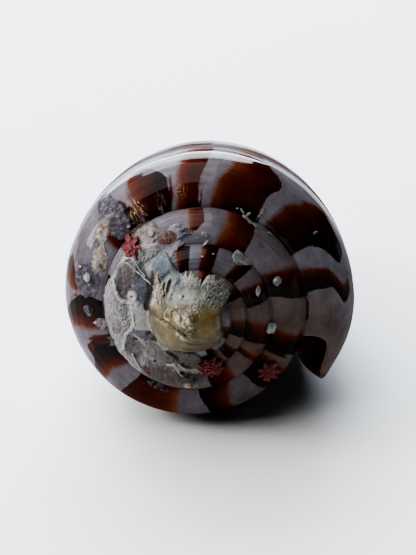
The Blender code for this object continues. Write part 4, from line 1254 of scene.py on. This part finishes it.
# The seed of their shapes, their numbers of rings, and how the splinters are scaled and sunk in.
GRAIN_SEED = 80
GRAIN_RINGS = 20
SPLINTER_RINGS = 5
SPLINTER_SCALE = np.array([1, 1, 1.15, 0.85, 1])
SPLINTER_SUNK = -0.02

quartz_finish = quartz()
for grain_number, grain_row in enumerate(GRAINS, 1):
    grain_name = f"sand_grain_{grain_number}"
    grain_mesh = ringed_mesh(grain_name, [grain_rings(GRAIN_SEED, GRAIN_RINGS, *grain_row)])
    add_piece(grain_mesh, quartz_finish, "sand", grain_name)
splinters = [grain_rings(seed, SPLINTER_RINGS, *row, SPLINTER_SUNK)
             for seed, row in enumerate(np.array(SPLINTERS) * SPLINTER_SCALE, GRAIN_SEED)]
splinter_mesh = ringed_mesh("fine_sand", splinters)
splinter_mesh.shade_flat()
add_piece(splinter_mesh, quartz_finish, "sand")

# --------------------------------------------------------------------------------- floor, light and camera
# A plain pale floor under a large soft light from behind and above, with a weak fill, looking at the spire.
floor_mesh = bpy.data.meshes.new("floor")
floor_mesh.from_pydata([(-2, -2, 0), (2, -2, 0), (2, 2, 0), (-2, 2, 0)], [], [(0, 1, 2, 3)])
paper = Finish("paper")
paper.set(Base_Color=(0.72, 0.72, 0.72, 1), Roughness=0.9)
floor_mesh.materials.append(paper.material)
floor = put_in_scene("floor", floor_mesh)


def add_light(name, position, size, power, colour):
    """A square soft light at a position that faces the shell's middle."""
    lamp = bpy.data.lights.new(name, "AREA")
    lamp.size, lamp.energy, lamp.color = size, power, colour
    holder = put_in_scene(name, lamp)
    holder.location = position
    holder.rotation_euler = (Vector((0, 0, 0.01)) - Vector(position)).to_track_quat("-Z", "Y").to_euler()


add_light("window", (-0.15, 0.85, 0.45), 0.85, 27, (0.82, 0.91, 1))
add_light("overhead", (-0.45, 0, 0.85), 1.4, 18.5, (0.97, 0.98, 1))
add_light("side", (-0.6, -0.05, 0.3), 0.25, 3, (1, 0.99, 0.96))
sky = bpy.data.worlds.new("sky")
sky.use_nodes = True
sky.node_tree.nodes["Background"].inputs["Color"].default_value = (0.9, 0.93, 1, 1)
sky.node_tree.nodes["Background"].inputs["Strength"].default_value = 0.03
bpy.context.scene.world = sky

# The camera looks almost along the shell's axis at its spire, from a little to one side, 160 mm away, and
# takes in about 46 mm there from top to bottom.
VIEW_TILT = math.radians(15.47)
VIEW_SIDE = math.radians(-95.35)
VIEW_DISTANCE = 160.0
VIEW_SHIFT = np.array([-1.238, -4.253, 0])
VIEW_SPAN = 45.622688
SENSOR = 36.0
towards = np.array([math.sin(VIEW_TILT) * math.cos(VIEW_SIDE), math.sin(VIEW_TILT) * math.sin(VIEW_SIDE),
                    math.cos(VIEW_TILT)])
swing = np.cross(towards, (0, 0, 1))
skew = np.array([[0, -swing[2], swing[1]], [swing[2], 0, -swing[0]], [-swing[1], swing[0], 0]])
look = np.eye(3) + skew + skew @ skew / (1 + towards[2])
spot = lay_down(look @ (np.array([0, 0, VIEW_DISTANCE]) - VIEW_SHIFT))
lens = bpy.data.cameras.new("camera")
lens.sensor_width = SENSOR
lens.lens = SENSOR * VIEW_DISTANCE / VIEW_SPAN
lens.clip_start, lens.clip_end = 0.01, 10.0
camera = put_in_scene("camera", lens)
camera.matrix_world = Matrix.Translation(spot) @ Matrix(TURN_DOWN @ look).to_4x4()
bpy.context.scene.camera = camera
bpy.context.scene.view_settings.look = "AgX - High Contrast"
